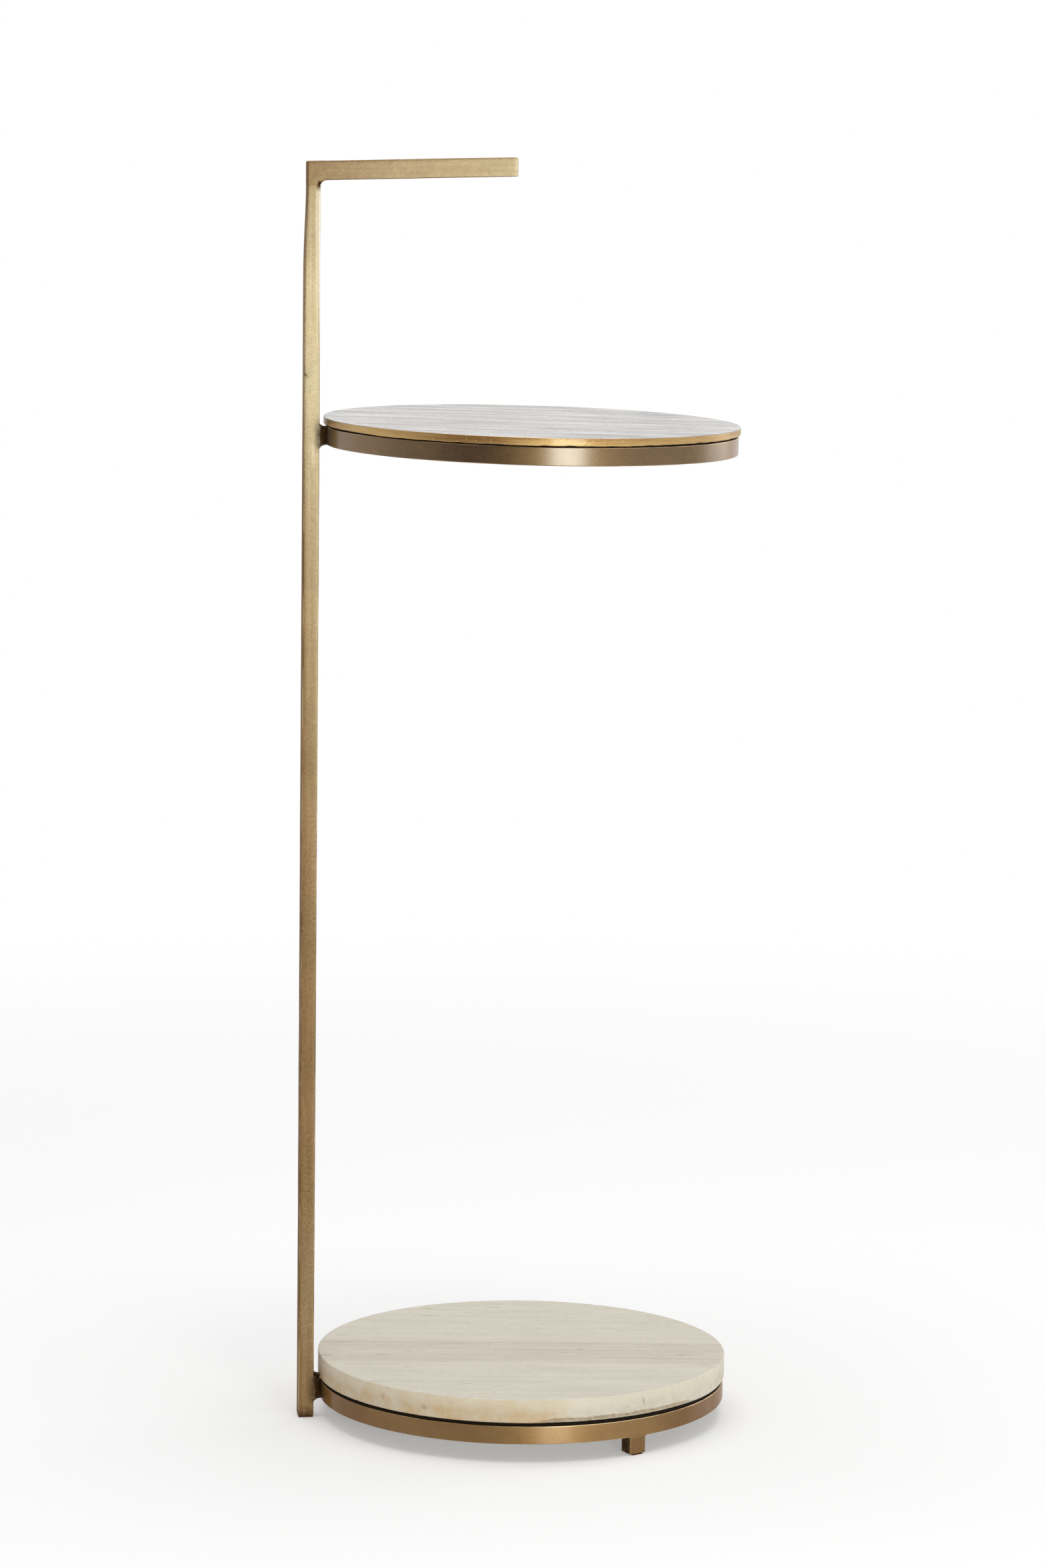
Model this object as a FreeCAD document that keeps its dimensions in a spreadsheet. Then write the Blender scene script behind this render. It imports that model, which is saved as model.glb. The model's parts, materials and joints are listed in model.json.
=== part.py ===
"""A small wine table: a square post with a handle, a brass top and a marble base on welded rings."""
import FreeCAD, Part
import os

import Sketcher

# Driving sizes in millimetres, and angles in degrees.
SIZES = [
    ("overall_height", 703.5, "floor to the top of the handle's free end"),
    ("post_width", 8.8, "post, measured towards the discs"),
    ("bar_depth", 9.0, "post and handle, measured across the handle"),
    ("bar_edge", 1.0, "rounding of the long edges of the bars"),
    ("handle_height", 10.4, "handle bar, top to bottom"),
    ("handle_length", 117.0, "handle, from the outer face of the post"),
    ("handle_end_edge", 0.7, "rounding round the handle's end"),
    ("handle_rise", 1.4, "angle that the handle climbs; 0 sets it level"),
    ("corner_weld", 2.8, "radius of the weld under the handle"),
    ("ring_diameter", 228.0, "outside of both rings"),
    ("ring_wall", 3.0, "thickness of the rolled flat bar"),
    ("ring_height", 10.0, "height of the rolled flat bar"),
    ("ring_edge", 0.4, "bevel of the ring edges"),
    ("upper_ring_level", 546.3, "floor to the bottom of the upper ring, at the post"),
    ("upper_droop", 1.0, "angle that the top falls away from the post; 0 sets it level"),
    ("lower_ring_level", 10.4, "floor to the bottom of the lower ring"),
    ("neck_length", 4.0, "clear space between a ring and the post"),
    ("neck_width", 7.0, "neck, across the handle"),
    ("neck_flare", 3.0, "radius of the weld above and below a neck"),
    ("weld_toe", 0.3, "thickness left at the edge of a weld"),
    ("foot_width", 10.2, "foot, along the ring"),
    ("foot_depth", 8.0, "foot, in from the ring's outside"),
    ("foot_angle", 64.0, "from the handle's direction to each foot"),
    ("foot_corner", 1.5, "rounding of a foot's lower corners"),
    ("floor_pad", 0.8, "thickness of the pads on the floor"),
    ("floor_pad_inset", 0.4, "bare margin round each floor pad"),
    ("top_overhang", 1.0, "top disc, past the upper ring all round"),
    ("top_thickness", 4.0, "brass top disc"),
    ("top_edge", 0.4, "bevel round the top disc"),
    ("top_gap", 1.0, "pads between the upper ring and the top disc"),
    ("marble_overhang", 0.6, "marble, past the lower ring all round"),
    ("marble_thickness", 13.0, "marble disc"),
    ("marble_arris", 0.6, "bevel round the marble"),
    ("marble_gap", 2.0, "pads between the lower ring and the marble"),
    ("tab_length", 24.0, "tab, from the inside of the ring"),
    ("tab_width", 18.0, "tab"),
    ("tab_thickness", 3.0, "tab"),
    ("tab_corner", 4.0, "rounding of a tab's free corners"),
    ("tab_hole_inset", 13.0, "screw, from the inside of the ring"),
    ("pad_diameter", 15.0, "pad under a disc"),
    ("gasket_inset", 1.0, "gasket, in from the outside of its ring"),
    ("gasket_width", 1.6, "gasket on a ring"),
    ("thread_diameter", 4.0, "screw shank"),
    ("screw_head_diameter", 7.6, "countersunk head"),
    ("screw_room", 0.25, "between a screw and the holes that it passes"),
    ("thread_room", 0.05, "between a screw and the hole that it grips"),
    ("socket_diameter", 2.6, "driving recess in a screw head"),
    ("socket_depth", 1.2, "driving recess in a screw head"),
    ("top_thread_reach", 2.5, "screw inside the top disc"),
    ("marble_thread_reach", 7.0, "screw inside the marble"),
    ("blind_room", 0.5, "space past a screw's end"),
    ("insert_diameter", 8.0, "threaded sleeve in the marble"),
    ("insert_length", 8.0, "threaded sleeve in the marble"),
    ("insert_bond", 0.1, "adhesive round a sleeve"),
]

DOC = FreeCAD.newDocument("WineTable")
SHEET = DOC.addObject("Spreadsheet::Sheet", "Sizes")
for row, (alias, value, note) in enumerate(SIZES, start=1):
    SHEET.set(f"A{row}", alias)
    SHEET.set(f"B{row}", str(value))
    SHEET.setAlias(f"B{row}", alias)
    SHEET.set(f"C{row}", note)
DOC.recompute()

# Places that several pieces share, measured from the axis of the discs.
RING_OUT = "(Sizes.ring_diameter / 2)"
RING_IN = f"({RING_OUT} - Sizes.ring_wall)"
TOP_OUT = f"({RING_OUT} + Sizes.top_overhang)"
MARBLE_OUT = f"({RING_OUT} + Sizes.marble_overhang)"
POST_IN = f"({RING_OUT} + Sizes.neck_length)"
POST_OUT = f"({POST_IN} + Sizes.post_width)"
HOLE_X = f"({RING_IN} - Sizes.tab_hole_inset)"
HOLE_DIAMETER = "(Sizes.thread_diameter + 2 * Sizes.screw_room)"
HEAD_DEPTH = "((Sizes.screw_head_diameter - Sizes.thread_diameter) / 2)"
TAB_BASE = "(Sizes.ring_height - Sizes.tab_thickness)"

# The origin is midway between the post's outer face and the far edge of the wider disc.
TOP_RISE = "(Sizes.ring_height / 2 + Sizes.top_gap + Sizes.top_thickness - Sizes.top_edge)"
TOP_FAR = f"(({RING_OUT} + {TOP_OUT}) * cos(Sizes.upper_droop) + {TOP_RISE} * sin(Sizes.upper_droop) - {RING_OUT})"
AXIS_X = f"(({POST_OUT} - max({TOP_FAR}; {MARBLE_OUT})) / 2)"

# The upper ring and all that it carries turn together about the neck.
LEVEL = "rotation(vector(0; 0; 1); 0)"
TO_NECK = f"placement(vector({RING_OUT}; 0; -Sizes.ring_height / 2); {LEVEL})"
FROM_NECK = f"vector(-{RING_OUT}; 0; Sizes.ring_height / 2)"
DROOP = f"placement({FROM_NECK}; rotation(vector(0; 1; 0); Sizes.upper_droop)) * {TO_NECK}"
STAND = f"placement(vector({AXIS_X}; 0; 0); {LEVEL})"
LOWER = f"placement(vector({AXIS_X}; 0; Sizes.lower_ring_level); {LEVEL})"
UPPER_NECK = f"placement(vector({AXIS_X}; 0; Sizes.upper_ring_level); {LEVEL})"
UPPER = f"{UPPER_NECK} * {DROOP}"

# The tabs, pads and screws stand at even angles, the first at the post.
TAB_NAMES = ("post", "front", "rear")
FIRST_TAB = 180.0
SUBPARTS = []


def size(expression):
    """The present value of an expression in the sheet's sizes."""
    return float(SHEET.evalExpression(expression))


def new_body(label, deck, lift="0", turn="0"):
    """A body on the axis of the discs, on the stand or on one of its decks, raised and turned there."""
    body = DOC.addObject("PartDesign::Body", label)
    body.Label = label
    body.setExpression("Placement", f"{deck} * placement(vector(0; 0; {lift}); rotation(vector(0; 0; 1); {turn}))")
    SUBPARTS.append(body)
    return body


def origin_plane(body, role):
    """One of the body's own origin planes."""
    return [item for item in body.Origin.OriginFeatures if item.Role == role][0]


def pin_point(sketch, edge, end, x_expression, y_expression, tag):
    """Holds one point of a sketch at two expressions."""
    for kind, axis, expression in (("DistanceX", "x", x_expression), ("DistanceY", "y", y_expression)):
        if expression == "0":
            sketch.addConstraint(Sketcher.Constraint("PointOnObject", edge, end, -2 if axis == "x" else -1))
            continue
        index = sketch.addConstraint(Sketcher.Constraint(kind, -1, 1, edge, end, size(expression)))
        name = f"{tag}_{axis}"
        sketch.renameConstraint(index, name)
        sketch.setExpression(f"Constraints.{name}", expression)


def outline(body, role, name, points, arcs=None):
    """A closed outline through the points; arcs maps an edge's index to (radius, counter-clockwise)."""
    arcs = arcs or {}
    sketch = body.newObject("Sketcher::SketchObject", name)
    sketch.AttachmentSupport = [(origin_plane(body, role), "")]
    sketch.MapMode = "FlatFace"
    places = [FreeCAD.Vector(size(x), size(y), 0) for x, y in points]
    starts = []
    for index, start in enumerate(places):
        end = places[(index + 1) % len(places)]
        if index not in arcs:
            sketch.addGeometry(Part.LineSegment(start, end))
            starts.append((1, 2))
            continue
        radius, counter_clockwise = arcs[index]
        chord = end - start
        side = FreeCAD.Vector(-chord.y, chord.x, 0).normalize()
        rise = (size(radius) ** 2 - (chord.Length / 2) ** 2) ** 0.5
        centre = start + chord * 0.5 + side * (rise if counter_clockwise else -rise)
        first, last = (start, end) if counter_clockwise else (end, start)
        x_axis = FreeCAD.Vector(1, 0, 0)
        begin = x_axis.getAngle(first - centre) * (1 if first.y >= centre.y else -1)
        finish = x_axis.getAngle(last - centre) * (1 if last.y >= centre.y else -1)
        circle = Part.Circle(centre, FreeCAD.Vector(0, 0, 1), size(radius))
        sketch.addGeometry(Part.ArcOfCircle(circle, begin, finish))
        starts.append((1, 2) if counter_clockwise else (2, 1))
    for index, (x, y) in enumerate(points):
        following = (index + 1) % len(points)
        sketch.addConstraint(
            Sketcher.Constraint("Coincident", index, starts[index][1], following, starts[following][0])
        )
    for index, (x, y) in enumerate(points):
        pin_point(sketch, index, starts[index][0], x, y, f"point{index}")
    for index, (radius, counter_clockwise) in arcs.items():
        number = sketch.addConstraint(Sketcher.Constraint("Radius", index, size(radius)))
        sketch.renameConstraint(number, f"arc{index}")
        sketch.setExpression(f"Constraints.arc{index}", radius)
    return sketch


def circle_sketch(body, role, name, x_expression, diameter):
    """A circle on the body's X axis."""
    sketch = body.newObject("Sketcher::SketchObject", name)
    sketch.AttachmentSupport = [(origin_plane(body, role), "")]
    sketch.MapMode = "FlatFace"
    centre = FreeCAD.Vector(size(x_expression), 0, 0)
    sketch.addGeometry(Part.Circle(centre, FreeCAD.Vector(0, 0, 1), size(diameter) / 2))
    pin_point(sketch, 0, 3, x_expression, "0", "centre")
    index = sketch.addConstraint(Sketcher.Constraint("Diameter", 0, size(diameter)))
    sketch.renameConstraint(index, "across")
    sketch.setExpression("Constraints.across", diameter)
    return sketch


def pad(body, sketch, length, symmetric=False):
    """Pads an outline, to both sides alike where it is symmetric."""
    feature = body.newObject("PartDesign::Pad", f"{sketch.Name}_pad")
    feature.Profile = sketch
    if symmetric:
        feature.SideType = "Symmetric"
    feature.setExpression("Length", length)
    DOC.recompute()
    return feature


def cut(body, sketch, length=None, reversed_side=False):
    """Cuts an outline out of the body, right through or to a depth, and makes sure that it cuts."""
    before = body.Shape.Volume
    feature = body.newObject("PartDesign::Pocket", f"{sketch.Name}_cut")
    feature.Profile = sketch
    feature.Reversed = reversed_side
    if length is None:
        feature.Type = "ThroughAll"
        feature.SideType = "Symmetric"
    else:
        feature.setExpression("Length", length)
    DOC.recompute()
    if body.Shape.Volume >= before - 1e-6:
        raise RuntimeError(f"{feature.Name} removes nothing")
    return feature


def revolve(body, sketch):
    """Turns an outline in the XZ plane about the body's Z axis."""
    feature = body.newObject("PartDesign::Revolution", f"{sketch.Name}_turn")
    feature.Profile = sketch
    feature.ReferenceAxis = (sketch, ["V_Axis"])
    feature.Angle = 360.0
    DOC.recompute()
    return feature


def ease(body, kind, choose, expression):
    """Rounds or bevels the edges of the body's tip that the test picks."""
    tip = body.Tip
    names = [f"Edge{number}" for number, edge in enumerate(tip.Shape.Edges, start=1) if choose(edge)]
    if not names:
        raise RuntimeError(f"no edge to ease on {body.Label}")
    feature = body.newObject(f"PartDesign::{kind}", f"{body.Name}_{kind.lower()}{len(body.Group)}")
    feature.Base = (tip, names)
    feature.setExpression("Radius" if kind == "Fillet" else "Size", expression)
    DOC.recompute()
    return feature


def runs_along(edge, direction):
    """True for a straight edge that is parallel to the direction."""
    if edge.Curve.TypeId != "Part::GeomLine":
        return False
    return abs(edge.tangentAt(edge.FirstParameter).dot(direction)) > 0.999


def around(body, feature):
    """Repeats a feature three times about the axis of the discs."""
    pattern = body.newObject("PartDesign::PolarPattern", f"{body.Name}_around")
    pattern.Originals = [feature]
    pattern.Axis = ([i for i in body.Origin.OriginFeatures if i.Role == "Z_Axis"][0], [""])
    pattern.Angle = 360.0
    pattern.Occurrences = len(TAB_NAMES)
    body.Tip = pattern
    DOC.recompute()
    return pattern


# The post and the handle meet at a mitre from their outer corner to their inner one.
RUN = "cos(Sizes.handle_rise)"
CLIMB = "sin(Sizes.handle_rise)"
OUTER_TOP = f"(Sizes.overall_height - Sizes.handle_length * {CLIMB})"
INNER_TOP = f"({OUTER_TOP} + Sizes.post_width * tan(Sizes.handle_rise) - Sizes.handle_height / {RUN})"
MITRE_OUTER = (f"-{POST_OUT}", OUTER_TOP)
MITRE_INNER = (f"-{POST_IN}", INNER_TOP)
Z_WAY = FreeCAD.Vector(0, 0, 1)
X_WAY = FreeCAD.Vector(1, 0, 0)


def make_post():
    """The upright bar, with its top cut for the mitre."""
    body = new_body("post", STAND)
    sides = [
        (f"-{POST_OUT}", "-Sizes.bar_depth / 2"),
        (f"-{POST_IN}", "-Sizes.bar_depth / 2"),
        (f"-{POST_IN}", "Sizes.bar_depth / 2"),
        (f"-{POST_OUT}", "Sizes.bar_depth / 2"),
    ]
    section = outline(body, "XY_Plane", "post_section", sides)
    section.setExpression("AttachmentOffset.Base.z", "Sizes.floor_pad")
    pad(body, section, f"{OUTER_TOP} - Sizes.floor_pad")
    ease(body, "Fillet", lambda edge: runs_along(edge, Z_WAY), "Sizes.bar_edge")
    clear_x = f"-{POST_IN} + Sizes.post_width"
    clear_z = f"{OUTER_TOP} + Sizes.handle_height"
    waste = [
        MITRE_OUTER,
        MITRE_INNER,
        (clear_x, INNER_TOP),
        (clear_x, clear_z),
        (MITRE_OUTER[0], clear_z),
    ]
    cut(body, outline(body, "XZ_Plane", "post_mitre", waste))


def make_handle():
    """The bar across the top, mitred and welded onto the post and rounded at its free end."""
    body = new_body("handle_bar", STAND)
    end_x = f"-{POST_OUT} + Sizes.handle_length * {RUN}"
    corners = [
        MITRE_OUTER,
        MITRE_INNER,
        (f"{end_x} + Sizes.handle_height * {CLIMB}", f"Sizes.overall_height - Sizes.handle_height * {RUN}"),
        (end_x, "Sizes.overall_height"),
    ]
    pad(body, outline(body, "XZ_Plane", "handle_side", corners), "Sizes.bar_depth", symmetric=True)
    ease(body, "Fillet", lambda edge: runs_along(edge, X_WAY), "Sizes.bar_edge")
    corner = FreeCAD.Vector(size(end_x), 0, size("Sizes.overall_height"))
    way = FreeCAD.Vector(size(RUN), 0, size(CLIMB))
    ease(
        body,
        "Fillet",
        lambda edge: all(abs((vertex.Point - corner).dot(way)) < 1e-4 for vertex in edge.Vertexes),
        "Sizes.handle_end_edge",
    )
    weld_end = f"-{POST_IN} + Sizes.weld_toe + Sizes.corner_weld"
    weld_low = f"{INNER_TOP} - Sizes.corner_weld"
    buried = f"{INNER_TOP} + Sizes.bar_edge"
    weld = [
        (f"-{POST_IN}", weld_low),
        (f"-{POST_IN} + Sizes.weld_toe", weld_low),
        (weld_end, INNER_TOP),
        (weld_end, buried),
        (f"-{POST_IN}", buried),
    ]
    seam = outline(body, "XZ_Plane", "corner_weld_side", weld, {1: ("Sizes.corner_weld", False)})
    pad(body, seam, "Sizes.bar_depth - 2 * Sizes.bar_edge", symmetric=True)


def make_neck(label, deck, ring_lean=None):
    """The link from the post to a ring, as high as the ring, with a weld flaring onto the post."""
    body = new_body(label, deck)
    inside = f"-{RING_IN}"
    toe = f"-{POST_IN} + Sizes.weld_toe"
    flare_end = f"-{POST_IN} + Sizes.weld_toe + Sizes.neck_flare"
    top = "Sizes.ring_height"
    profile = [
        (f"-{POST_IN}", "-Sizes.neck_flare"),
        (toe, "-Sizes.neck_flare"),
        (flare_end, "0"),
        (inside, "0"),
        (inside, top),
        (flare_end, top),
        (toe, f"{top} + Sizes.neck_flare"),
        (f"-{POST_IN}", f"{top} + Sizes.neck_flare"),
    ]
    arcs = {1: ("Sizes.neck_flare", False), 5: ("Sizes.neck_flare", False)}
    side = outline(body, "XZ_Plane", f"{label}_side", profile, arcs)
    pad(body, side, "Sizes.neck_width", symmetric=True)
    seat = circle_sketch(body, "XY_Plane", f"{label}_seat", "0", "Sizes.ring_diameter")
    if ring_lean:
        seat.setExpression("AttachmentOffset", ring_lean)
    cut(body, seat)


def make_ring(label, deck):
    """A rolled flat bar with bevelled edges."""
    body = new_body(label, deck)
    section = [
        (RING_IN, "0"),
        (RING_OUT, "0"),
        (RING_OUT, "Sizes.ring_height"),
        (RING_IN, "Sizes.ring_height"),
    ]
    revolve(body, outline(body, "XZ_Plane", f"{label}_section", section))
    ease(body, "Chamfer", lambda edge: edge.Curve.TypeId == "Part::GeomCircle", "Sizes.ring_edge")


def make_tab(label, deck, turn):
    """A flat tab inside a ring, flush with its top, with a countersunk hole."""
    body = new_body(label, deck, TAB_BASE, turn)
    half = "(Sizes.tab_width / 2)"
    outer = f"sqrt({RING_IN} ^ 2 - {half} ^ 2)"
    inner = f"({RING_IN} - Sizes.tab_length)"
    plan = [(inner, f"-{half}"), (outer, f"-{half}"), (outer, half), (inner, half)]
    sketch = outline(body, "XY_Plane", f"{label}_plan", plan, {1: (RING_IN, True)})
    pad(body, sketch, "Sizes.tab_thickness")
    free_end = size(inner)
    ease(
        body,
        "Fillet",
        lambda edge: runs_along(edge, Z_WAY) and abs(edge.Vertexes[0].X - free_end) < 1e-4,
        "Sizes.tab_corner",
    )
    cut(body, circle_sketch(body, "XY_Plane", f"{label}_hole", HOLE_X, HOLE_DIAMETER))
    hole_radius = size(HOLE_DIAMETER) / 2
    ease(
        body,
        "Chamfer",
        lambda edge: edge.Curve.TypeId == "Part::GeomCircle"
        and abs(edge.Curve.Radius - hole_radius) < 1e-4
        and abs(edge.Curve.Center.z) < 1e-4,
        HEAD_DEPTH,
    )


def make_pads(label, deck, thickness):
    """The pads on the tabs, pierced for the screws."""
    body = new_body(label, deck, "Sizes.ring_height", FIRST_TAB)
    sketch = circle_sketch(body, "XY_Plane", f"{label}_plan", HOLE_X, "Sizes.pad_diameter")
    sketch.addGeometry(
        Part.Circle(FreeCAD.Vector(size(HOLE_X), 0, 0), FreeCAD.Vector(0, 0, 1), size(HOLE_DIAMETER) / 2)
    )
    sketch.addConstraint(Sketcher.Constraint("Coincident", 1, 3, 0, 3))
    index = sketch.addConstraint(Sketcher.Constraint("Diameter", 1, size(HOLE_DIAMETER)))
    sketch.renameConstraint(index, "bore")
    sketch.setExpression("Constraints.bore", HOLE_DIAMETER)
    around(body, pad(body, sketch, thickness))


def make_gasket(label, deck, thickness):
    """The dark strip on a ring that closes the gap under its disc."""
    body = new_body(label, deck, "Sizes.ring_height")
    outside = f"({RING_OUT} - Sizes.gasket_inset)"
    inside = f"({outside} - Sizes.gasket_width)"
    section = [(inside, "0"), (outside, "0"), (outside, thickness), (inside, thickness)]
    revolve(body, outline(body, "XZ_Plane", f"{label}_section", section))


def turned(body, name, profile):
    """A small turned piece that stands on the screw circle and repeats at each tab."""
    points = [(f"{HOLE_X} + {radius}", height) for radius, height in profile]
    sketch = outline(body, "XZ_Plane", name, points)
    line = sketch.addGeometry(
        Part.LineSegment(FreeCAD.Vector(size(HOLE_X), 0, 0), FreeCAD.Vector(size(HOLE_X), 10, 0)), True
    )
    pin_point(sketch, line, 1, HOLE_X, "0", "axis")
    sketch.addConstraint(Sketcher.Constraint("Vertical", line))
    feature = body.newObject("PartDesign::Revolution", f"{name}_turn")
    feature.Profile = sketch
    feature.ReferenceAxis = (sketch, ["Axis0"])
    feature.Angle = 360.0
    DOC.recompute()
    around(body, feature)


def make_screws(label, deck, gap, reach):
    """Countersunk screws, their heads flush under the tabs."""
    body = new_body(label, deck, TAB_BASE, FIRST_TAB)
    head = "Sizes.screw_head_diameter / 2"
    shank = "Sizes.thread_diameter / 2"
    socket = "Sizes.socket_diameter / 2"
    length = f"Sizes.tab_thickness + {gap} + {reach}"
    profile = [
        (socket, "0"),
        (head, "0"),
        (shank, HEAD_DEPTH),
        (shank, length),
        ("0", length),
        ("0", "Sizes.socket_depth"),
        (socket, "Sizes.socket_depth"),
    ]
    turned(body, f"{label}_profile", profile)


def make_inserts():
    """Threaded sleeves, flush with the underside of the marble."""
    body = new_body("marble_inserts", LOWER, "Sizes.ring_height + Sizes.marble_gap", FIRST_TAB)
    bore = "Sizes.thread_diameter / 2 + Sizes.thread_room"
    outside = "Sizes.insert_diameter / 2"
    profile = [
        (bore, "0"),
        (outside, "0"),
        (outside, "Sizes.insert_length"),
        (bore, "Sizes.insert_length"),
    ]
    turned(body, "insert_profile", profile)


def make_disc(label, deck, gap, radius, thickness, bevel, bore, depth):
    """A disc with bevelled edges and blind holes over the tabs."""
    body = new_body(label, deck, f"Sizes.ring_height + {gap}", FIRST_TAB)
    section = [("0", "0"), (radius, "0"), (radius, thickness), ("0", thickness)]
    revolve(body, outline(body, "XZ_Plane", f"{label}_section", section))
    ease(body, "Chamfer", lambda edge: edge.Curve.TypeId == "Part::GeomCircle", bevel)
    hole = circle_sketch(body, "XY_Plane", f"{label}_hole", HOLE_X, bore)
    around(body, cut(body, hole, depth, reversed_side=True))


def foot_plan(body, name, side_inset, depth_inset):
    """The outline of a foot, or of its pad, with its outer side following the ring's outside."""
    half = f"(Sizes.foot_width / 2 - {side_inset})"
    outer = f"({RING_OUT} - {depth_inset})"
    inner = f"({RING_OUT} - Sizes.foot_depth + {depth_inset})"
    corner = f"sqrt({outer} ^ 2 - {half} ^ 2)"
    plan = [(inner, f"-{half}"), (corner, f"-{half}"), (corner, half), (inner, half)]
    return outline(body, "XY_Plane", name, plan, {1: (outer, True)})


def make_foot(label, turn):
    """A block under the lower ring with rounded lower corners."""
    body = new_body(label, STAND, "Sizes.floor_pad", turn)
    pad(body, foot_plan(body, f"{label}_plan", "0", "0"), "Sizes.lower_ring_level - Sizes.floor_pad")
    ease(
        body,
        "Fillet",
        lambda edge: runs_along(edge, X_WAY) and abs(edge.Vertexes[0].Z) < 1e-4,
        "Sizes.foot_corner",
    )
    pad_body = new_body(f"{label}_pad", STAND, "0", turn)
    inset = "Sizes.floor_pad_inset"
    plan = foot_plan(pad_body, f"{label}_pad_plan", f"(Sizes.foot_corner + {inset})", inset)
    pad(pad_body, plan, "Sizes.floor_pad")


def make_post_pad():
    """The floor pad under the post."""
    body = new_body("post_pad", STAND)
    near = f"-{POST_IN} - Sizes.floor_pad_inset"
    far = f"-{POST_OUT} + Sizes.floor_pad_inset"
    half = "(Sizes.bar_depth / 2 - Sizes.floor_pad_inset)"
    plan = [(far, f"-{half}"), (near, f"-{half}"), (near, half), (far, half)]
    pad(body, outline(body, "XY_Plane", "post_pad_plan", plan), "Sizes.floor_pad")


def make_table():
    """Every piece of the table."""
    make_post()
    make_handle()
    make_neck("upper_neck", UPPER_NECK, DROOP)
    make_neck("lower_neck", LOWER)
    make_ring("upper_ring", UPPER)
    make_ring("lower_ring", LOWER)
    for index, name in enumerate(TAB_NAMES):
        turn = FIRST_TAB + index * 360.0 / len(TAB_NAMES)
        make_tab(f"upper_tab_{name}", UPPER, turn)
        make_tab(f"lower_tab_{name}", LOWER, turn)
    make_pads("upper_pads", UPPER, "Sizes.top_gap")
    make_pads("lower_pads", LOWER, "Sizes.marble_gap")
    make_gasket("upper_gasket", UPPER, "Sizes.top_gap")
    make_gasket("lower_gasket", LOWER, "Sizes.marble_gap")
    make_screws("upper_screws", UPPER, "Sizes.top_gap", "Sizes.top_thread_reach")
    make_screws("lower_screws", LOWER, "Sizes.marble_gap", "Sizes.marble_thread_reach")
    make_inserts()
    make_disc(
        "top_disc",
        UPPER,
        "Sizes.top_gap",
        TOP_OUT,
        "Sizes.top_thickness",
        "Sizes.top_edge",
        "Sizes.thread_diameter + 2 * Sizes.thread_room",
        "Sizes.top_thread_reach + Sizes.blind_room",
    )
    make_disc(
        "marble_disc",
        LOWER,
        "Sizes.marble_gap",
        MARBLE_OUT,
        "Sizes.marble_thickness",
        "Sizes.marble_arris",
        "Sizes.insert_diameter + 2 * Sizes.insert_bond",
        "max(Sizes.insert_length; Sizes.marble_thread_reach) + Sizes.blind_room",
    )
    make_foot("front_foot", "-Sizes.foot_angle")
    make_foot("rear_foot", "Sizes.foot_angle")
    make_post_pad()


def write_parts():
    """Writes each piece after making sure that every feature and shape is sound."""
    DOC.recompute()
    for item in DOC.Objects:
        if "Invalid" in item.State or "Error" in item.State:
            raise RuntimeError(f"{item.Name} failed: {item.State}")
    for body in SUBPARTS:
        if body.Shape.isNull() or not body.Shape.isValid():
            raise RuntimeError(f"{body.Label} has no sound shape")
    os.makedirs("parts", exist_ok=True)
    for body in SUBPARTS:
        body.Shape.exportStep(f"parts/{body.Label}.step")
        solids = len(body.Shape.Solids)
        print(f"{body.Label}: {solids} solid(s), {body.Shape.Volume / 1000:.3f} cm3")


make_table()
write_parts()
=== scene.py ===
"""Wine table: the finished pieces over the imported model, and the studio it stands in."""
import json
import math

import bmesh
import bpy
from mathutils import Matrix, Vector, noise


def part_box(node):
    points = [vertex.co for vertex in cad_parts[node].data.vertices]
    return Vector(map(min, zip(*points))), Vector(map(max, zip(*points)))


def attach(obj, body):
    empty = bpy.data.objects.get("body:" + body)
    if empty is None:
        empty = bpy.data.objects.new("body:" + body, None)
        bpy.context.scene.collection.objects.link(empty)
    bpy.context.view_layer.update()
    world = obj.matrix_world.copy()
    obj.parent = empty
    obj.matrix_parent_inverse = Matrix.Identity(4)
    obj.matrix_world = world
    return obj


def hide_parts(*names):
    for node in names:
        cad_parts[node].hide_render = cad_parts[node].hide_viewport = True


bl_info = {
    "name": "Wine table",
    "version": (1, 0, 0),
    "blender": (4, 5, 0),
    "location": "3D View > Sidebar > Wine table",
    "description": "Dresses a slim brass wine table with a marble base disc",
    "category": "Object",
}

MM = 0.001
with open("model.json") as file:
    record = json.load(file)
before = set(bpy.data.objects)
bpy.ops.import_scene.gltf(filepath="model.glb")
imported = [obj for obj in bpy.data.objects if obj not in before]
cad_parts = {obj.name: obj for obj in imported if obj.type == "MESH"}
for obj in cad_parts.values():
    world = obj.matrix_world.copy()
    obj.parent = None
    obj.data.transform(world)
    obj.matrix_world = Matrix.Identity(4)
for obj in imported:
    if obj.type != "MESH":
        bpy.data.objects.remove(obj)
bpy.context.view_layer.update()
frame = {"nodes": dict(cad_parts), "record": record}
MOUNTS = {mount["name"]: mount for mount in frame["record"]["mounts"]}


def mount_place(name):
    """Matrix with its origin on a mount and its +Z along the mount's axis."""
    mount = MOUNTS[name]
    lean = math.atan2(mount["axis"][0], mount["axis"][2])
    return Matrix.Translation(mount["pos_m"]) @ Matrix.Rotation(lean, 4, "Y")


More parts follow.
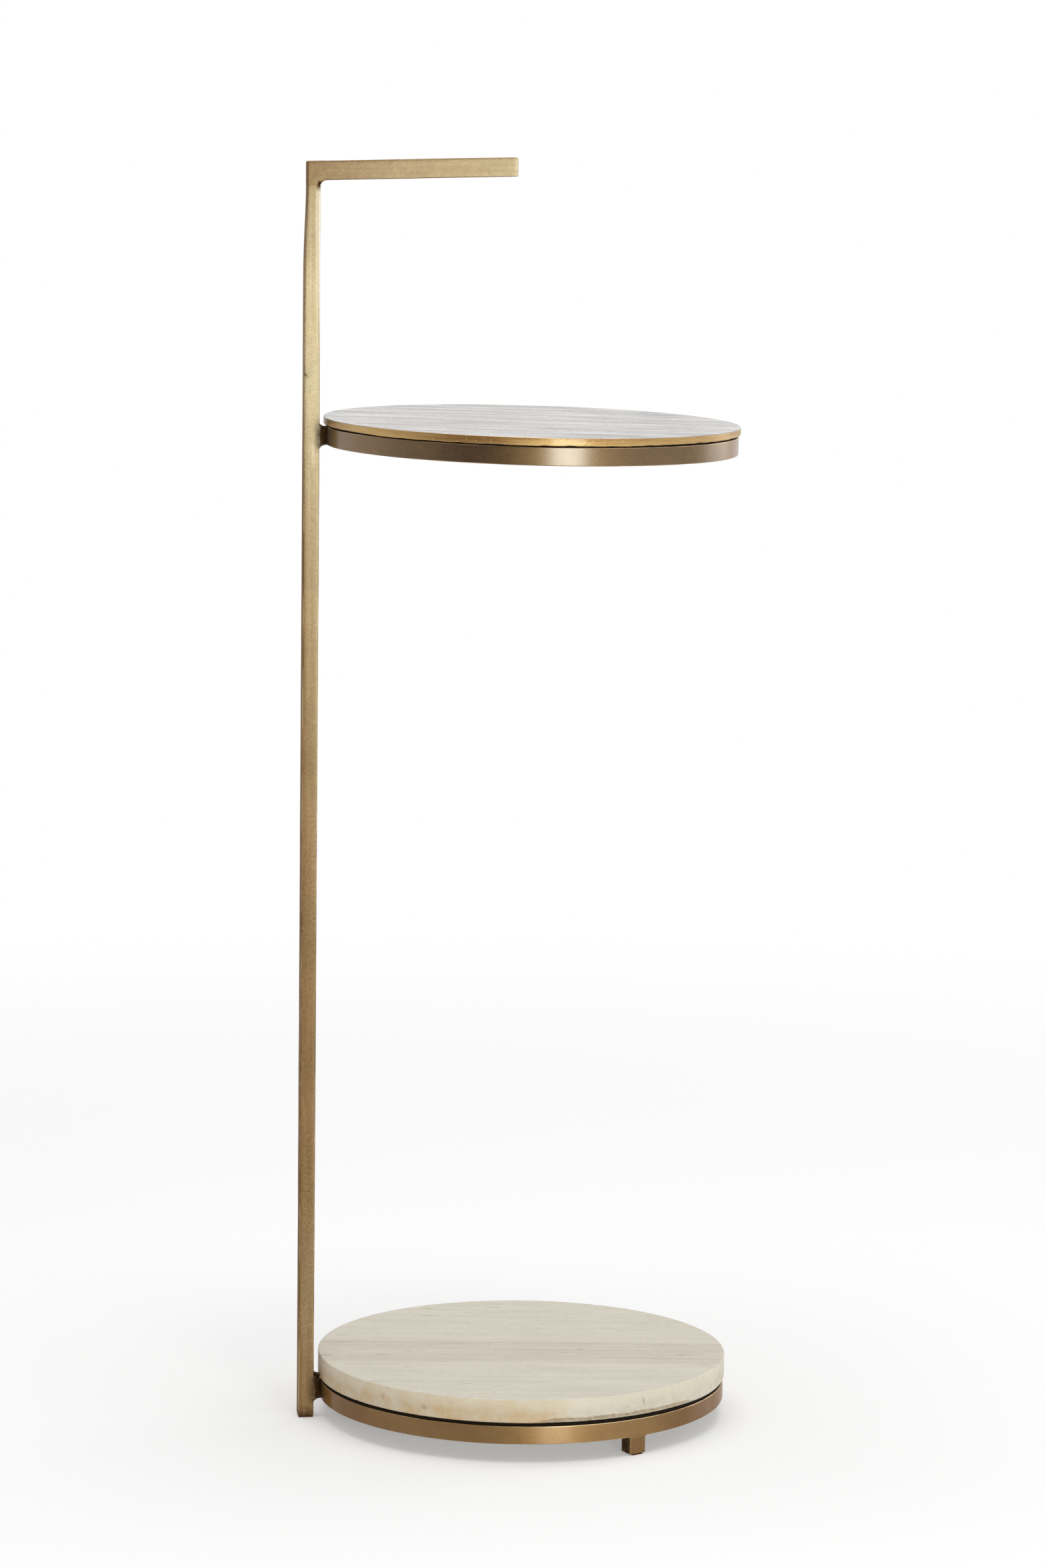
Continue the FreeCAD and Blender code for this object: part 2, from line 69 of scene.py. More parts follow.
TOP_PLACE = mount_place("table_top")
SHELF_PLACE = mount_place("marble_shelf")
POST_LOW, POST_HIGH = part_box("post")
HANDLE_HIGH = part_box("handle_bar")[1]
RING_LOW, RING_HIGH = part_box("lower_ring")
RING_RADIUS = RING_HIGH.y
RING_HEIGHT = RING_HIGH.z - RING_LOW.z
TOP_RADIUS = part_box("top_disc")[1].y
MARBLE_LOW, MARBLE_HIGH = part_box("marble_disc")
MARBLE_RADIUS = MARBLE_HIGH.y
MARBLE_THICKNESS = MARBLE_HIGH.z - MARBLE_LOW.z
MARBLE_GAP = MARBLE_LOW.z - RING_HIGH.z
GRAIN_TURN = math.radians(8.4)

# Browning up the post and along the handle, partly painted dark reflection: millimetres and share
POST_BROWNED_AND_SHADED = (
    (0, 1.0), (30, 0.95), (58, 0.82), (88, 0.84), (130, 0.97), (200, 1.0), (317, 0.88), (431, 0.71),
    (507, 0.52), (545, 0.24), (580, 0.04), (604, 0.16), (640, 0.16), (667, 0.30), (682, 0.45), (688, 0.6))
HANDLE_BROWNED_AND_SHADED = ((0, 0.84), (12, 0.80), (53, 0.58), (83, 0.52), (113, 0.36))

# How much browner the post's outer side is than its inner side, a painted dark reflection: millimetres up the
# post and share
POST_SIDE_REFLECTION = (
    (0, -0.2), (100, -0.22), (150, 0.0), (300, 0.2), (400, 0.22), (500, 0.1), (560, 0.0), (700, 0.0))

# Browning round the rings and the rim of the top, partly painted dark reflection: degrees from the handle's
# direction and share
UPPER_BROWNED_AND_SHADED = (
    (-180, 0.0), (-145, 0.0), (-127, 0.16), (-121, 0.50), (-116, 0.76), (-111, 0.66), (-105, 0.28),
    (-100, 0.05), (-97, 0.0), (180, 0.0))
LOWER_BROWNED_AND_SHADED = (
    (-180, 0.0), (-172, 0.2), (-163, 0.66), (-158, 0.78), (-151, 0.68), (-145, 0.38), (-137, 0.24),
    (-125, 0.14), (-110, 0.0), (-60, 0.0), (-52, 0.24), (-44, 0.68), (-36, 0.95), (-30, 0.95), (0, 0.4),
    (90, 0.2), (180, 0.0))
RIM_BROWNED_AND_SHADED = (
    (-180, 0.4), (-167, 0.4), (-155, 0.0), (-140, 0.0), (-132, 0.2), (-125, 0.6), (-117, 1.0), (-109, 0.95),
    (-103, 0.5), (-97, 0.2), (-91, 0.04), (-86, 0.26), (-80, 0.48), (-71, 0.30), (-60, 0.05), (-50, 0.1),
    (-40, 0.2), (40, 0.4), (110, 0.2), (180, 0.4))

# Flaws on the marble's side: degrees round it, then depth, width and height in millimetres, and strength
MARBLE_FLAWS = (
    (-140, 6.5, 0.8, 1.8, 0.6), (-126, 8.0, 1.5, 1.2, 0.7), (-62.4, 5.5, 0.6, 2.2, 0.6),
    (-118, 3.5, 1.2, 0.8, 0.3))

# Grey of the studio walls: degrees from the camera's side, to its right, and tone
WALL_TONES = (
    (-136, 0.80), (-98, 0.85), (-75, 0.68), (-60, 0.42), (-44, 0.16), (-32, 0.05), (-10, 0.05), (2, 0.15),
    (12, 0.5), (40, 0.80), (60, 0.90), (84, 0.76), (98, 0.66), (106, 0.72), (115, 0.95), (122, 1.0))


def length(label, text, default):
    return bpy.props.FloatProperty(
        name=label, description=text, default=default, unit="LENGTH", precision=5)


def colour(label, text, default):
    return bpy.props.FloatVectorProperty(
        name=label, description=text, default=default, subtype="COLOR", size=3, min=0, max=1)


def share(label, text, default):
    return bpy.props.FloatProperty(
        name=label, description=text, default=default, min=0, max=1, subtype="FACTOR")


def number(label, text, default):
    return bpy.props.FloatProperty(name=label, description=text, default=default)


class WineTableBar(bpy.types.PropertyGroup):
    """Hand finishing of the bar that makes the post and the handle."""
    edge_round: length("Edge round", "Round on the long edges of the bar", 0.65 * MM)
    ground_round: length("Ground edge", "Round ground on the inner front edge under the handle", 2.9 * MM)
    ground_reach: length("Ground length", "How far down the post the ground edge runs out", 130 * MM)
    waist: length("Waist", "Metal ground off the post's outer face just under the handle", 1.25 * MM)
    waist_reach: length("Waist length", "Height over which the post thins towards the handle", 46 * MM)
    fillet: length("Corner weld", "Radius of the weld in the corner under the handle", 2.8 * MM)
    handle_height: length("Handle height", "Height of the handle bar", 10.4 * MM)
    handle_rise: bpy.props.FloatProperty(
        name="Handle rise", description="Angle at which the handle climbs away from the post",
        default=math.radians(1.4), subtype="ANGLE")
    unevenness: length("Unevenness", "How far the faces wander from true", 0.14 * MM)


class WineTableRounds(bpy.types.PropertyGroup):
    """Edges and surface of the rings and the two discs."""
    ring_wall: length("Ring wall", "Thickness of the rolled flat bar", 3 * MM)
    ring_edge: length("Ring edge", "Round on the edges of the flat bar", 0.45 * MM)
    ring_wander: length("Ring wander", "How far the rolled rings wander from a true circle", 0.12 * MM)
    top_thickness: length("Top thickness", "Thickness of the brass top", 4 * MM)
    top_gap: length("Top gap", "Dark gap between the top and its ring", 1 * MM)
    top_edge: length("Top edge", "Round on the edges of the brass top", 0.45 * MM)
    marble_arris: length("Marble arris", "Bevel on the marble's edges", 0.7 * MM)
    chip_depth: length("Chip depth", "Depth of the chips on the marble's edges", 0.6 * MM)
    bevel_depth: length("Bevel depth", "Depth of the ragged bevel under the marble's front", 0.75 * MM)


class WineTableColours(bpy.types.PropertyGroup):
    """Finishes, as linear colours."""
    bar_light: colour("Bar brass, light", "Lighter grit of the post and handle", (0.535, 0.438, 0.272))
    bar_dark: colour("Bar brass, dark", "Darker grit of the post and handle", (0.226, 0.164, 0.089))
    # The two rings' tones differ partly as a finish and partly as painted light: the lower ring is kept
    # lighter and the upper darker.
    upper_light: colour("Upper ring, light", "Lighter tone of the upper ring", (0.206, 0.115, 0.034))
    upper_dark: colour("Upper ring, dark", "Darker tone of the upper ring", (0.112, 0.056, 0.013))
    lower_light: colour("Lower ring, light", "Lighter tone of the lower ring", (0.322, 0.192, 0.072))
    lower_dark: colour("Lower ring, dark", "Darker tone of the lower ring", (0.226, 0.121, 0.042))
    # Multiplied in by the browning tables, which are partly painted dark reflection.
    browned_and_shaded: colour("Browning", "How the brass darkens where it is browned", (0.436, 0.315, 0.215))
    # Also lays a painted highlight along the front of the rings' top edges.
    worn_metal_and_highlight: colour("Worn edge", "Bright metal where edges are rubbed", (0.70, 0.54, 0.32))
    # Bare ground metal lightened further as a painted highlight, also on the handle's tip.
    ground_metal_and_highlight: colour("Ground edge", "Bare metal on the ground edge of the post", (0.83, 0.75, 0.58))
    # Also laid as painted shade on the feet's sides and bottoms.
    soot_and_shade: colour("Weld soot", "Darkened metal round the welds", (0.035, 0.018, 0.008))
    top_light: colour("Top brass, light", "Satin brass of the top", (0.66, 0.525, 0.36))
    top_dark: colour("Top brass, streaks", "Browner streaks in the top", (0.26, 0.19, 0.125))
    rim_light: colour("Rim brass, light", "Golden rim of the top", (0.60, 0.405, 0.165))
    rim_dark: colour("Rim brass, dark", "Browner scratches in the rim", (0.30, 0.158, 0.052))
    marble_pale: colour("Marble", "Ground colour of the stone", (0.875, 0.82, 0.675))
    # Painted light: the upper part of the stone's side, lightened as if lit from above.
    marble_painted_top_light: colour("Marble, washed", "Paler upper part of the stone's side", (0.95, 0.87, 0.70))
    marble_light: colour("Marble, light", "Pale dashes in the stone", (0.93, 0.89, 0.79))
    marble_vein: colour("Marble vein", "Soft straight veins in the stone", (0.58, 0.52, 0.43))
    marble_band: colour("Marble band", "Greyer band across the stone", (0.52, 0.43, 0.34))
    marble_line: colour("Marble dash", "Short dark dashes in the stone", (0.24, 0.16, 0.10))
    marble_tint: colour("Marble tint", "Warm patches on the stone's side", (0.69, 0.49, 0.275))
    # Also painted shade on the stone's side next to the post.
    marble_chip: colour("Marble chip", "Chipped and soiled edge of the stone", (0.35, 0.24, 0.115))
    rubber: colour("Rubber", "Pads and gaskets under the discs", (0.016, 0.010, 0.005))
    steel: colour("Steel", "Screws under the discs", (0.42, 0.41, 0.39))
    insert_brass: colour("Insert brass", "Threaded sleeves in the marble", (0.62, 0.46, 0.20))
    felt: colour("Felt", "Pads under the post and the feet", (0.12, 0.035, 0.018))


class WineTableStage(bpy.types.PropertyGroup):
    """Floor, light and camera."""
    camera_place: bpy.props.FloatVectorProperty(
        name="Camera place", description="Where the camera stands",
        default=(-0.44775, -3.00176, 0.80136), subtype="TRANSLATION", size=3)
    camera_turn: bpy.props.FloatVectorProperty(
        name="Camera turn", description="How the camera is turned", subtype="EULER", size=3,
        default=(math.radians(81.676), math.radians(-0.6595), math.radians(-8.441)))
    camera_lens: number("Lens", "Focal length in millimetres", 126.745)
    floor_reach: length("Floor reach", "Half the width of the floor", 14.0)
    floor_tone: share("Floor tone", "Grey of the floor", 0.80)
    floor_sheen: share("Floor sheen", "Share of the floor's mirror that the metal shows", 0.35)
    backdrop_lift: share("Backdrop lift", "Light added to the floor where it is looked at", 0.30)
    backdrop_near: length("Backdrop start", "Distance at which the floor starts to turn white", 0.5)
    backdrop_far: length("Backdrop end", "Distance at which the floor is white", 1.6)
    fill: share("Fill", "Even light from all round", 0.36)
    key_glow: number("Key light", "Brightness of the narrow soft box, where 1 is white", 22.5)
    side_glow: number("Side light", "Brightness of the wide soft box, where 1 is white", 1.75)
    top_glow: number("Top light", "Brightness of the overhead soft box, where 1 is white", 2.6)
    wall_tone: share("Wall tone", "Brightness of the studio walls that the metal mirrors", 1.0)


class WineTableSettings(bpy.types.PropertyGroup):
    """All that a user may change."""
    bar: bpy.props.PointerProperty(type=WineTableBar, name="Bar", description="Post and handle")
    rounds: bpy.props.PointerProperty(type=WineTableRounds, name="Rounds", description="Rings and discs")
    colours: bpy.props.PointerProperty(type=WineTableColours, name="Colours", description="Finishes")
    stage: bpy.props.PointerProperty(type=WineTableStage, name="Stage", description="Floor, light and camera")


def settings():
    return bpy.context.scene.wine_table


def ease(low, high, value):
    """0 below low, 1 above high and a smooth step between."""
    t = min(max((value - low) / (high - low), 0.0), 1.0)
    return t * t * (3 - 2 * t)


def between(value, rise_from, rise_to, fall_from, fall_to):
    """1 between two soft ends and 0 outside them."""
    return ease(rise_from, rise_to, value) * (1 - ease(fall_from, fall_to, value))


def along_line(stops, value):
    """Value read off a line through (place, value) stops."""
    for (a, low), (b, high) in zip(stops, stops[1:]):
        if value <= b:
            return low + (high - low) * min(max((value - a) / (b - a), 0.0), 1.0)
    return stops[-1][1]


def wander(x, y=0.0, z=0.0):
    """Smooth noise between 0 and 1."""
    return min(max(0.5 + 0.5 * noise.noise(Vector((x, y, z))), 0.0), 1.0)


def soft_spot(point, middle, reach, powers=(2, 2, 2), lean=0.0):
    """1 in the middle of a spot, falling away over its reach in millimetres; lean tilts it along x."""
    x, y, z = [part / MM for part in point - middle]
    away = (x, y, z + lean * x)
    return math.exp(-sum((part / span) ** power for part, span, power in zip(away, reach, powers)))


def bar_section(low_a, high_a, low_b, high_b, rounds, steps, flats):
    """Points round a bar's section from its (low a, low b) corner, each with its share of edge, which is
    1 amid a rounded corner; steps divide a corner and flats a side."""
    corners = ((low_a, low_b, 180), (high_a, low_b, 270), (high_a, high_b, 0), (low_a, high_b, 90))
    arcs = []
    for (a, b, start), radius in zip(corners, rounds):
        mid_a = a + radius if a == low_a else a - radius
        mid_b = b + radius if b == low_b else b - radius
        arc = []
        for step in range(steps + 1):
            angle = math.radians(start + 90 * step / steps)
            edge = math.sin(math.pi * step / steps)
            arc.append((mid_a + radius * math.cos(angle), mid_b + radius * math.sin(angle), edge))
        arcs.append(arc)
    points = []
    for arc, following in zip(arcs, arcs[1:] + arcs[:1]):
        points += arc
        (a0, b0, _), (a1, b1, _) = arc[-1], following[0]
        points += [(a0 + (a1 - a0) * k / flats, b0 + (b1 - b0) * k / flats, 0.0) for k in range(1, flats)]
    return points


def grid_faces(rows, columns, wrap_rows=False, caps=False):
    """Four-sided faces over closed rows of points; caps closes the first and last rows."""
    faces = []
    for row in range(rows if wrap_rows else rows - 1):
        here, after = row * columns, (row + 1) % rows * columns
        for column in range(columns):
            beside = (column + 1) % columns
            faces.append((here + column, here + beside, after + beside, after + column))
    if caps:
        faces.append(tuple(range(columns)))
        faces.append(tuple((rows - 1) * columns + column for column in range(columns)))
    return faces


class Shape:
    """Points and faces of one piece, with the marks that its finish reads."""

    def __init__(self):
        self.points, self.faces = [], []
        self.marks = {"edge": [], "soot_and_shade": [], "rim": [], "brown": [], "grain": []}

    def add(self, point, grain, edge=0.0, soot_and_shade=0.0, rim=0.0, brown=0.0):
        self.points.append(Vector(point))
        given = {"edge": edge, "soot_and_shade": soot_and_shade, "rim": rim, "brown": brown, "grain": Vector(grain)}
        for mark, value in given.items():
            self.marks[mark].append(value)


def add_piece(name, shape, finish, slot, *nodes):
    """Makes a piece from a shape, in place of the given nodes."""
    mesh = bpy.data.meshes.new(name)
    mesh.from_pydata(shape.points, [], shape.faces)
    work = bmesh.new()
    work.from_mesh(mesh)
    bmesh.ops.recalc_face_normals(work, faces=work.faces)
    work.to_mesh(mesh)
    work.free()
    for mark, values in shape.marks.items():
        if mark == "grain":
            layer = mesh.attributes.new(mark, "FLOAT_VECTOR", "POINT")
            layer.data.foreach_set("vector", [part for value in values for part in value])
        else:
            layer = mesh.attributes.new(mark, "FLOAT", "POINT")
            layer.data.foreach_set("value", values)
    mesh.shade_smooth()
    normals = [Vector() for _ in mesh.vertices]
    for face in mesh.polygons:
        for corner in face.vertices:
            normals[corner] += face.normal * face.area
    mesh.normals_split_custom_set_from_vertices([normal.normalized() for normal in normals])
    mesh.materials.append(finish)
    piece = bpy.data.objects.new(name, mesh)
    bpy.context.scene.collection.objects.link(piece)
    if nodes:
        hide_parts(*nodes)
    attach(piece, "root")


def finish_nodes(finish, *nodes):
    """Gives CAD nodes a finish as they are."""
    for name in nodes:
        mesh = frame["nodes"][name].data
        mesh.materials.clear()
        mesh.materials.append(finish)


def set_inputs(tree, node, inputs):
    """Sets a node's inputs to values, or links them to sockets."""
    for key, value in inputs.items():
        if isinstance(value, bpy.types.NodeSocket):
            tree.links.new(value, node.inputs[key])
        else:
            node.inputs[key].default_value = value


def add_node(tree, kind, inputs=None, **values):
    """A node with its settings made and its inputs set or linked."""
    made = tree.nodes.new(kind)
    for key, value in values.items():
        setattr(made, key, value)
    set_inputs(tree, made, inputs or {})
    return made


def maths(tree, operation, first, second, third=0.0, clamp=False):
    inputs = {0: first, 1: second, 2: third}
    return add_node(tree, "ShaderNodeMath", inputs, operation=operation, use_clamp=clamp).outputs[0]


def times(tree, first, second):
    return maths(tree, "MULTIPLY", first, second)


def weighted(tree, start, *parts):
    """A start value and the sum of values, each times its weight."""
    total = start
    for value, weight in parts:
        total = maths(tree, "MULTIPLY_ADD", value, weight, total)
    return total


def rgb(values):
    return (*values, 1.0)


def mix_colour(tree, factor, first, second, mode="MIX"):
    inputs = {0: factor, 6: first, 7: second}
    return add_node(tree, "ShaderNodeMix", inputs, data_type="RGBA", blend_type=mode).outputs[2]


def layered(tree, base, *layers):
    """A colour with others laid over it in turn, each by its own mask."""
    for mask, tint in layers:
        base = mix_colour(tree, mask, base, rgb(tint))
    return base


def step_between(tree, value, low, high, to_low=0.0, to_high=1.0):
    """A smooth step of a value from low to high."""
    inputs = {0: value, 1: low, 2: high, 3: to_low, 4: to_high}
    return add_node(tree, "ShaderNodeMapRange", inputs, interpolation_type="SMOOTHSTEP").outputs[0]


def strip_between(tree, value, rise, fall):
    """A mask that is 1 between two soft ends."""
    return times(tree, step_between(tree, value, *rise), step_between(tree, value, *fall, 1.0, 0.0))


def noise_value(tree, vector, scale, detail, rough):
    inputs = {"Vector": vector, "Scale": scale, "Detail": detail, "Roughness": rough}
    return add_node(tree, "ShaderNodeTexNoise", inputs).outputs[0]


def bumped(tree, height, strength, distance):
    inputs = {"Height": height, "Strength": strength, "Distance": distance}
    return add_node(tree, "ShaderNodeBump", inputs).outputs[0]


def axes_of(tree, vector):
    return add_node(tree, "ShaderNodeSeparateXYZ", {0: vector}).outputs


def object_place(tree):
    return add_node(tree, "ShaderNodeTexCoord").outputs["Object"]


def mark_value(tree, mark, output="Fac"):
    """One of the marks that a piece carries."""
    made = add_node(tree, "ShaderNodeAttribute", attribute_name=mark, attribute_type="GEOMETRY")
    return made.outputs[output]


def grain_axes(tree):
    """Places along the grain, across it and through the piece."""
    return axes_of(tree, mark_value(tree, "grain", "Vector"))


def built_once(store, name):
    """Lets a group or a finish be built on its first use and handed out again after that."""
    def wrap(build):
        def give():
            return getattr(bpy.data, store).get(name) or build(name)
        return give
    return wrap


def new_group(name, inputs, outputs):
    """An empty shader group; returns its tree, the sockets that it is given and its output node."""
    tree = bpy.data.node_groups.new(name, "ShaderNodeTree")
    for label, default in inputs.items():
        socket = tree.interface.new_socket(label, in_out="INPUT", socket_type="NodeSocketFloat")
        socket.default_value = default
    for label in outputs:
        tree.interface.new_socket(label, in_out="OUTPUT", socket_type="NodeSocketFloat")
    return tree, tree.nodes.new("NodeGroupInput").outputs, tree.nodes.new("NodeGroupOutput")


@built_once("node_groups", "Drawn streaks")
def streaks_group(name):
    """Drawn grain: long streaks along the piece, broad and fine."""
    inputs = {"Along": 20.0, "Across": 700.0, "Fine across": 2600.0}
    tree, given, out = new_group(name, inputs, ("Broad", "Fine", "Lines"))
    place = grain_axes(tree)

    def stretched(across):
        scales = (given["Along"], across, across)
        parts = {axis: times(tree, place[axis], scale) for axis, scale in enumerate(scales)}
        return add_node(tree, "ShaderNodeCombineXYZ", parts).outputs[0]
    broad = noise_value(tree, stretched(given["Across"]), 1.0, 3.0, 0.6)
    fine = noise_value(tree, stretched(given["Fine across"]), 1.0, 2.0, 0.6)
    set_inputs(tree, out, {
        "Broad": step_between(tree, broad, 0.3, 0.7),
        "Fine": step_between(tree, fine, 0.25, 0.75),
        "Lines": step_between(tree, fine, 0.66, 0.74),
    })
    return tree


@built_once("node_groups", "Patina")
def patina_group(name):
    """Blotches, mottling, grit and specks that age leaves on metal and stone."""
    inputs = {"Blotch scale": 26.0, "Mottle scale": 190.0, "Grit scale": 1500.0,
              "Speck scale": 900.0, "Speck share": 0.3}
    tree, given, out = new_group(name, inputs, ("Blotch", "Mottle", "Grit", "Specks"))
    place = object_place(tree)
    for label, detail, rough in (("Blotch", 3.0, 0.5), ("Mottle", 4.0, 0.65), ("Grit", 2.0, 0.6)):
        cloud = noise_value(tree, place, given[label + " scale"], detail, rough)
        set_inputs(tree, out, {label: step_between(tree, cloud, 0.3, 0.7)})
    dots = noise_value(tree, place, given["Speck scale"], 1.0, 0.5)
    level = weighted(tree, 0.82, (given["Speck share"], -0.3))
    specks = add_node(tree, "ShaderNodeMapRange", {0: dots, 1: level, 2: maths(tree, "ADD", level, 0.05)})
    set_inputs(tree, out, {"Specks": specks.outputs[0]})
    return tree


@built_once("node_groups", "Worn edges")
def wear_group(name):
    """Rubbed edges, with a painted highlight along the rings' front top edges, from the piece's edge mark,
    broken up unevenly.
    """
    tree, given, out = new_group(name, {"Amount": 0.6, "Break up": 90.0}, ("Mask",))
    broken = noise_value(tree, object_place(tree), given["Break up"], 4.0, 0.6)
    mask = times(tree, mark_value(tree, "edge"), step_between(tree, broken, 0.38, 0.66))
    set_inputs(tree, out, {"Mask": times(tree, mask, given["Amount"])})
    return tree


@built_once("node_groups", "Weld soot")
def soot_group(name):
    """Darkening left by welding, and painted shade, from the piece's mark of both."""
    tree, given, out = new_group(name, {"Amount": 1.0, "Break up": 420.0}, ("Mask",))
    broken = noise_value(tree, object_place(tree), given["Break up"], 3.0, 0.6)
    dark = times(tree, mark_value(tree, "soot_and_shade"), step_between(tree, broken, 0.15, 0.7, 0.45, 1.15))
    set_inputs(tree, out, {"Mask": maths(tree, "MULTIPLY", dark, given["Amount"], clamp=True)})
    return tree


def use_group(tree, group, **values):
    """Places a group with its own values and returns its output sockets."""
    made = add_node(tree, "ShaderNodeGroup", node_tree=group)
    set_inputs(tree, made, {key.replace("_", " ").capitalize(): value for key, value in values.items()})
    return made.outputs


def new_finish(name):
    """An empty material; returns it with its tree and its surface shader."""
    finish = bpy.data.materials.new(name)
    finish.use_nodes = True
    return finish, finish.node_tree, finish.node_tree.nodes["Principled BSDF"]


def brass_finish(name, light, dark, shares, grain, rough, coat, gloss, glance):
    """Frame finish: a browned, lacquered brass with fine grit, bright where it is rubbed or ground and dark
    round the welds.
    The browning is partly painted dark reflection, the lightening of the ground edge, the handle's tip and
    the rings' front top edges is partly painted highlight, and the darkening of the feet's sides and bottoms
    is painted shade.
    shares weigh the blotches, the mottling, the grit and the streaks; grain is the depth of the surface,
    rough the roughness of the metal, coat the share of lacquer, gloss the roughness of the lacquer and glance
    the colour of the metal seen along its surface."""
    finish, tree, surface = new_finish(name)
    colours = settings().colours
    patina = use_group(tree, patina_group(), blotch_scale=21.0, mottle_scale=260.0, grit_scale=850.0,
                       speck_scale=520.0, speck_share=0.12)
    streaks = use_group(tree, streaks_group(), along=14.0, across=420.0, fine_across=2600.0)
    wear = use_group(tree, wear_group(), amount=0.8, break_up=24.0)
    soot_and_shade = use_group(tree, soot_group(), amount=1.0, break_up=420.0)
    tones = (patina["Blotch"], patina["Mottle"], patina["Grit"], streaks["Broad"])
    base = layered(tree, rgb(dark), (weighted(tree, 0.0, *zip(tones, shares)), light))
    # Browning, partly painted dark reflection.
    base = mix_colour(tree, mark_value(tree, "brown"), base, rgb(colours.browned_and_shaded), "MULTIPLY")
    base = layered(tree, base,
                   (times(tree, patina["Specks"], 1.3 * grain), colours.worn_metal_and_highlight),
                   # Worn edges, with a painted highlight along the rings' front top edges.
                   (wear["Mask"], colours.worn_metal_and_highlight),
                   # Bare ground metal with a painted highlight on it and on the handle's tip.
                   (mark_value(tree, "rim"), colours.ground_metal_and_highlight),
                   # Weld darkening, and painted shade on the feet.
                   (soot_and_shade["Mask"], colours.soot_and_shade))
    roughness = weighted(tree, rough, (patina["Mottle"], 0.06), (patina["Grit"], 0.06), (soot_and_shade["Mask"], 0.25))
    height = weighted(tree, 0.0, (patina["Grit"], 0.6), (patina["Mottle"], 0.4), (patina["Specks"], grain))
    set_inputs(tree, surface, {
        "Base Color": base,
        "Roughness": roughness,
        "Normal": bumped(tree, height, grain, 0.12 * MM),
        "Coat Weight": weighted(tree, coat, (soot_and_shade["Mask"], -0.85 * coat)),
        "Coat Roughness": gloss,
        "Coat IOR": 1.6,
        "Specular Tint": rgb(glance),
        "Metallic": 1.0,
    })
    return finish


@built_once("materials", "Blasted brass")
def bar_brass(name):
    """Post and handle: lighter, with a blasted grit."""
    colours = settings().colours
    return brass_finish(name, colours.bar_light, colours.bar_dark, shares=(0.20, 0.14, 0.44, 0.22),
                        grain=0.22, rough=0.42, coat=0.12, gloss=0.25, glance=(0.52, 0.36, 0.22))


@built_once("materials", "Browned brass")
def upper_brass(name):
    """Upper ring with its neck and tabs: a smoother brown bronze tone under a clear lacquer, kept darker
    partly as painted shade.
    """
    colours = settings().colours
    return brass_finish(name, colours.upper_light, colours.upper_dark, shares=(0.40, 0.18, 0.32, 0.10),
                        grain=0.08, rough=0.41, coat=0.98, gloss=0.245, glance=(0.80, 0.64, 0.46))


@built_once("materials", "Golden brass")
def lower_brass(name):
    """Lower ring with its neck, feet and tabs: a more golden tone under a thinner lacquer, kept lighter
    partly as painted light.
    """
    colours = settings().colours
    return brass_finish(name, colours.lower_light, colours.lower_dark, shares=(0.40, 0.18, 0.32, 0.10),
                        grain=0.08, rough=0.41, coat=0.42, gloss=0.18, glance=(0.80, 0.64, 0.46))


@built_once("materials", "Satin brass")
def satin_brass(name):
    """Top finish: lacquered straight grain with browner streaks, and a bare, finely scratched golden rim."""
    finish, tree, surface = new_finish(name)
    colours = settings().colours
    patina = use_group(tree, patina_group(), blotch_scale=18.0, mottle_scale=300.0, grit_scale=1700.0,
                       speck_scale=900.0, speck_share=0.45)
    streaks = use_group(tree, streaks_group(), along=8.0, across=320.0, fine_across=1500.0)
    bands = use_group(tree, streaks_group(), along=11.0, across=55.0, fine_across=140.0)
    scratches = use_group(tree, streaks_group(), along=34.0, across=650.0, fine_across=2400.0)
    wear = use_group(tree, wear_group(), amount=0.8, break_up=60.0)
    rim = mark_value(tree, "rim")
    brown = weighted(tree, 0.0, (streaks["Broad"], 0.24), (streaks["Fine"], 0.30), (patina["Blotch"], 0.18),
                     (patina["Grit"], 0.28))
    face = layered(tree, rgb(colours.top_light), (step_between(tree, brown, 0.10, 0.90), colours.top_dark))
    rubbed = weighted(tree, 0.0, (scratches["Broad"], 0.24), (scratches["Fine"], 0.22),
                      (patina["Grit"], 0.14), (mark_value(tree, "brown"), 0.62))
    golden = layered(tree, rgb(colours.rim_light),
                     (step_between(tree, rubbed, 0.05, 1.0), colours.rim_dark),
                     (times(tree, patina["Specks"], 0.7), colours.worn_metal_and_highlight))
    base = layered(tree, mix_colour(tree, rim, face, golden), (wear["Mask"], colours.top_dark))
    height = weighted(tree, 0.0, (streaks["Fine"], 0.5), (streaks["Broad"], 0.2), (patina["Grit"], 0.5))
    shine = weighted(tree, -0.36, (bands["Broad"], 0.62), (bands["Fine"], 0.56), (streaks["Broad"], 0.2),
                     (patina["Mottle"], 0.34))
    lacquer = times(tree, shine, maths(tree, "SUBTRACT", 1.0, rim))
    set_inputs(tree, surface, {
        "Base Color": base,
        "Roughness": weighted(tree, 0.24, (streaks["Fine"], 0.10), (patina["Grit"], 0.08), (rim, 0.20)),
        "Normal": bumped(tree, height, 0.2, 0.1 * MM),
        "Coat Weight": weighted(tree, lacquer, (rim, 0.2)),
        "Coat Roughness": 0.12,
        "Specular Tint": (0.74, 0.85, 1.0, 1.0),
        "Metallic": 1.0,
    })
    return finish


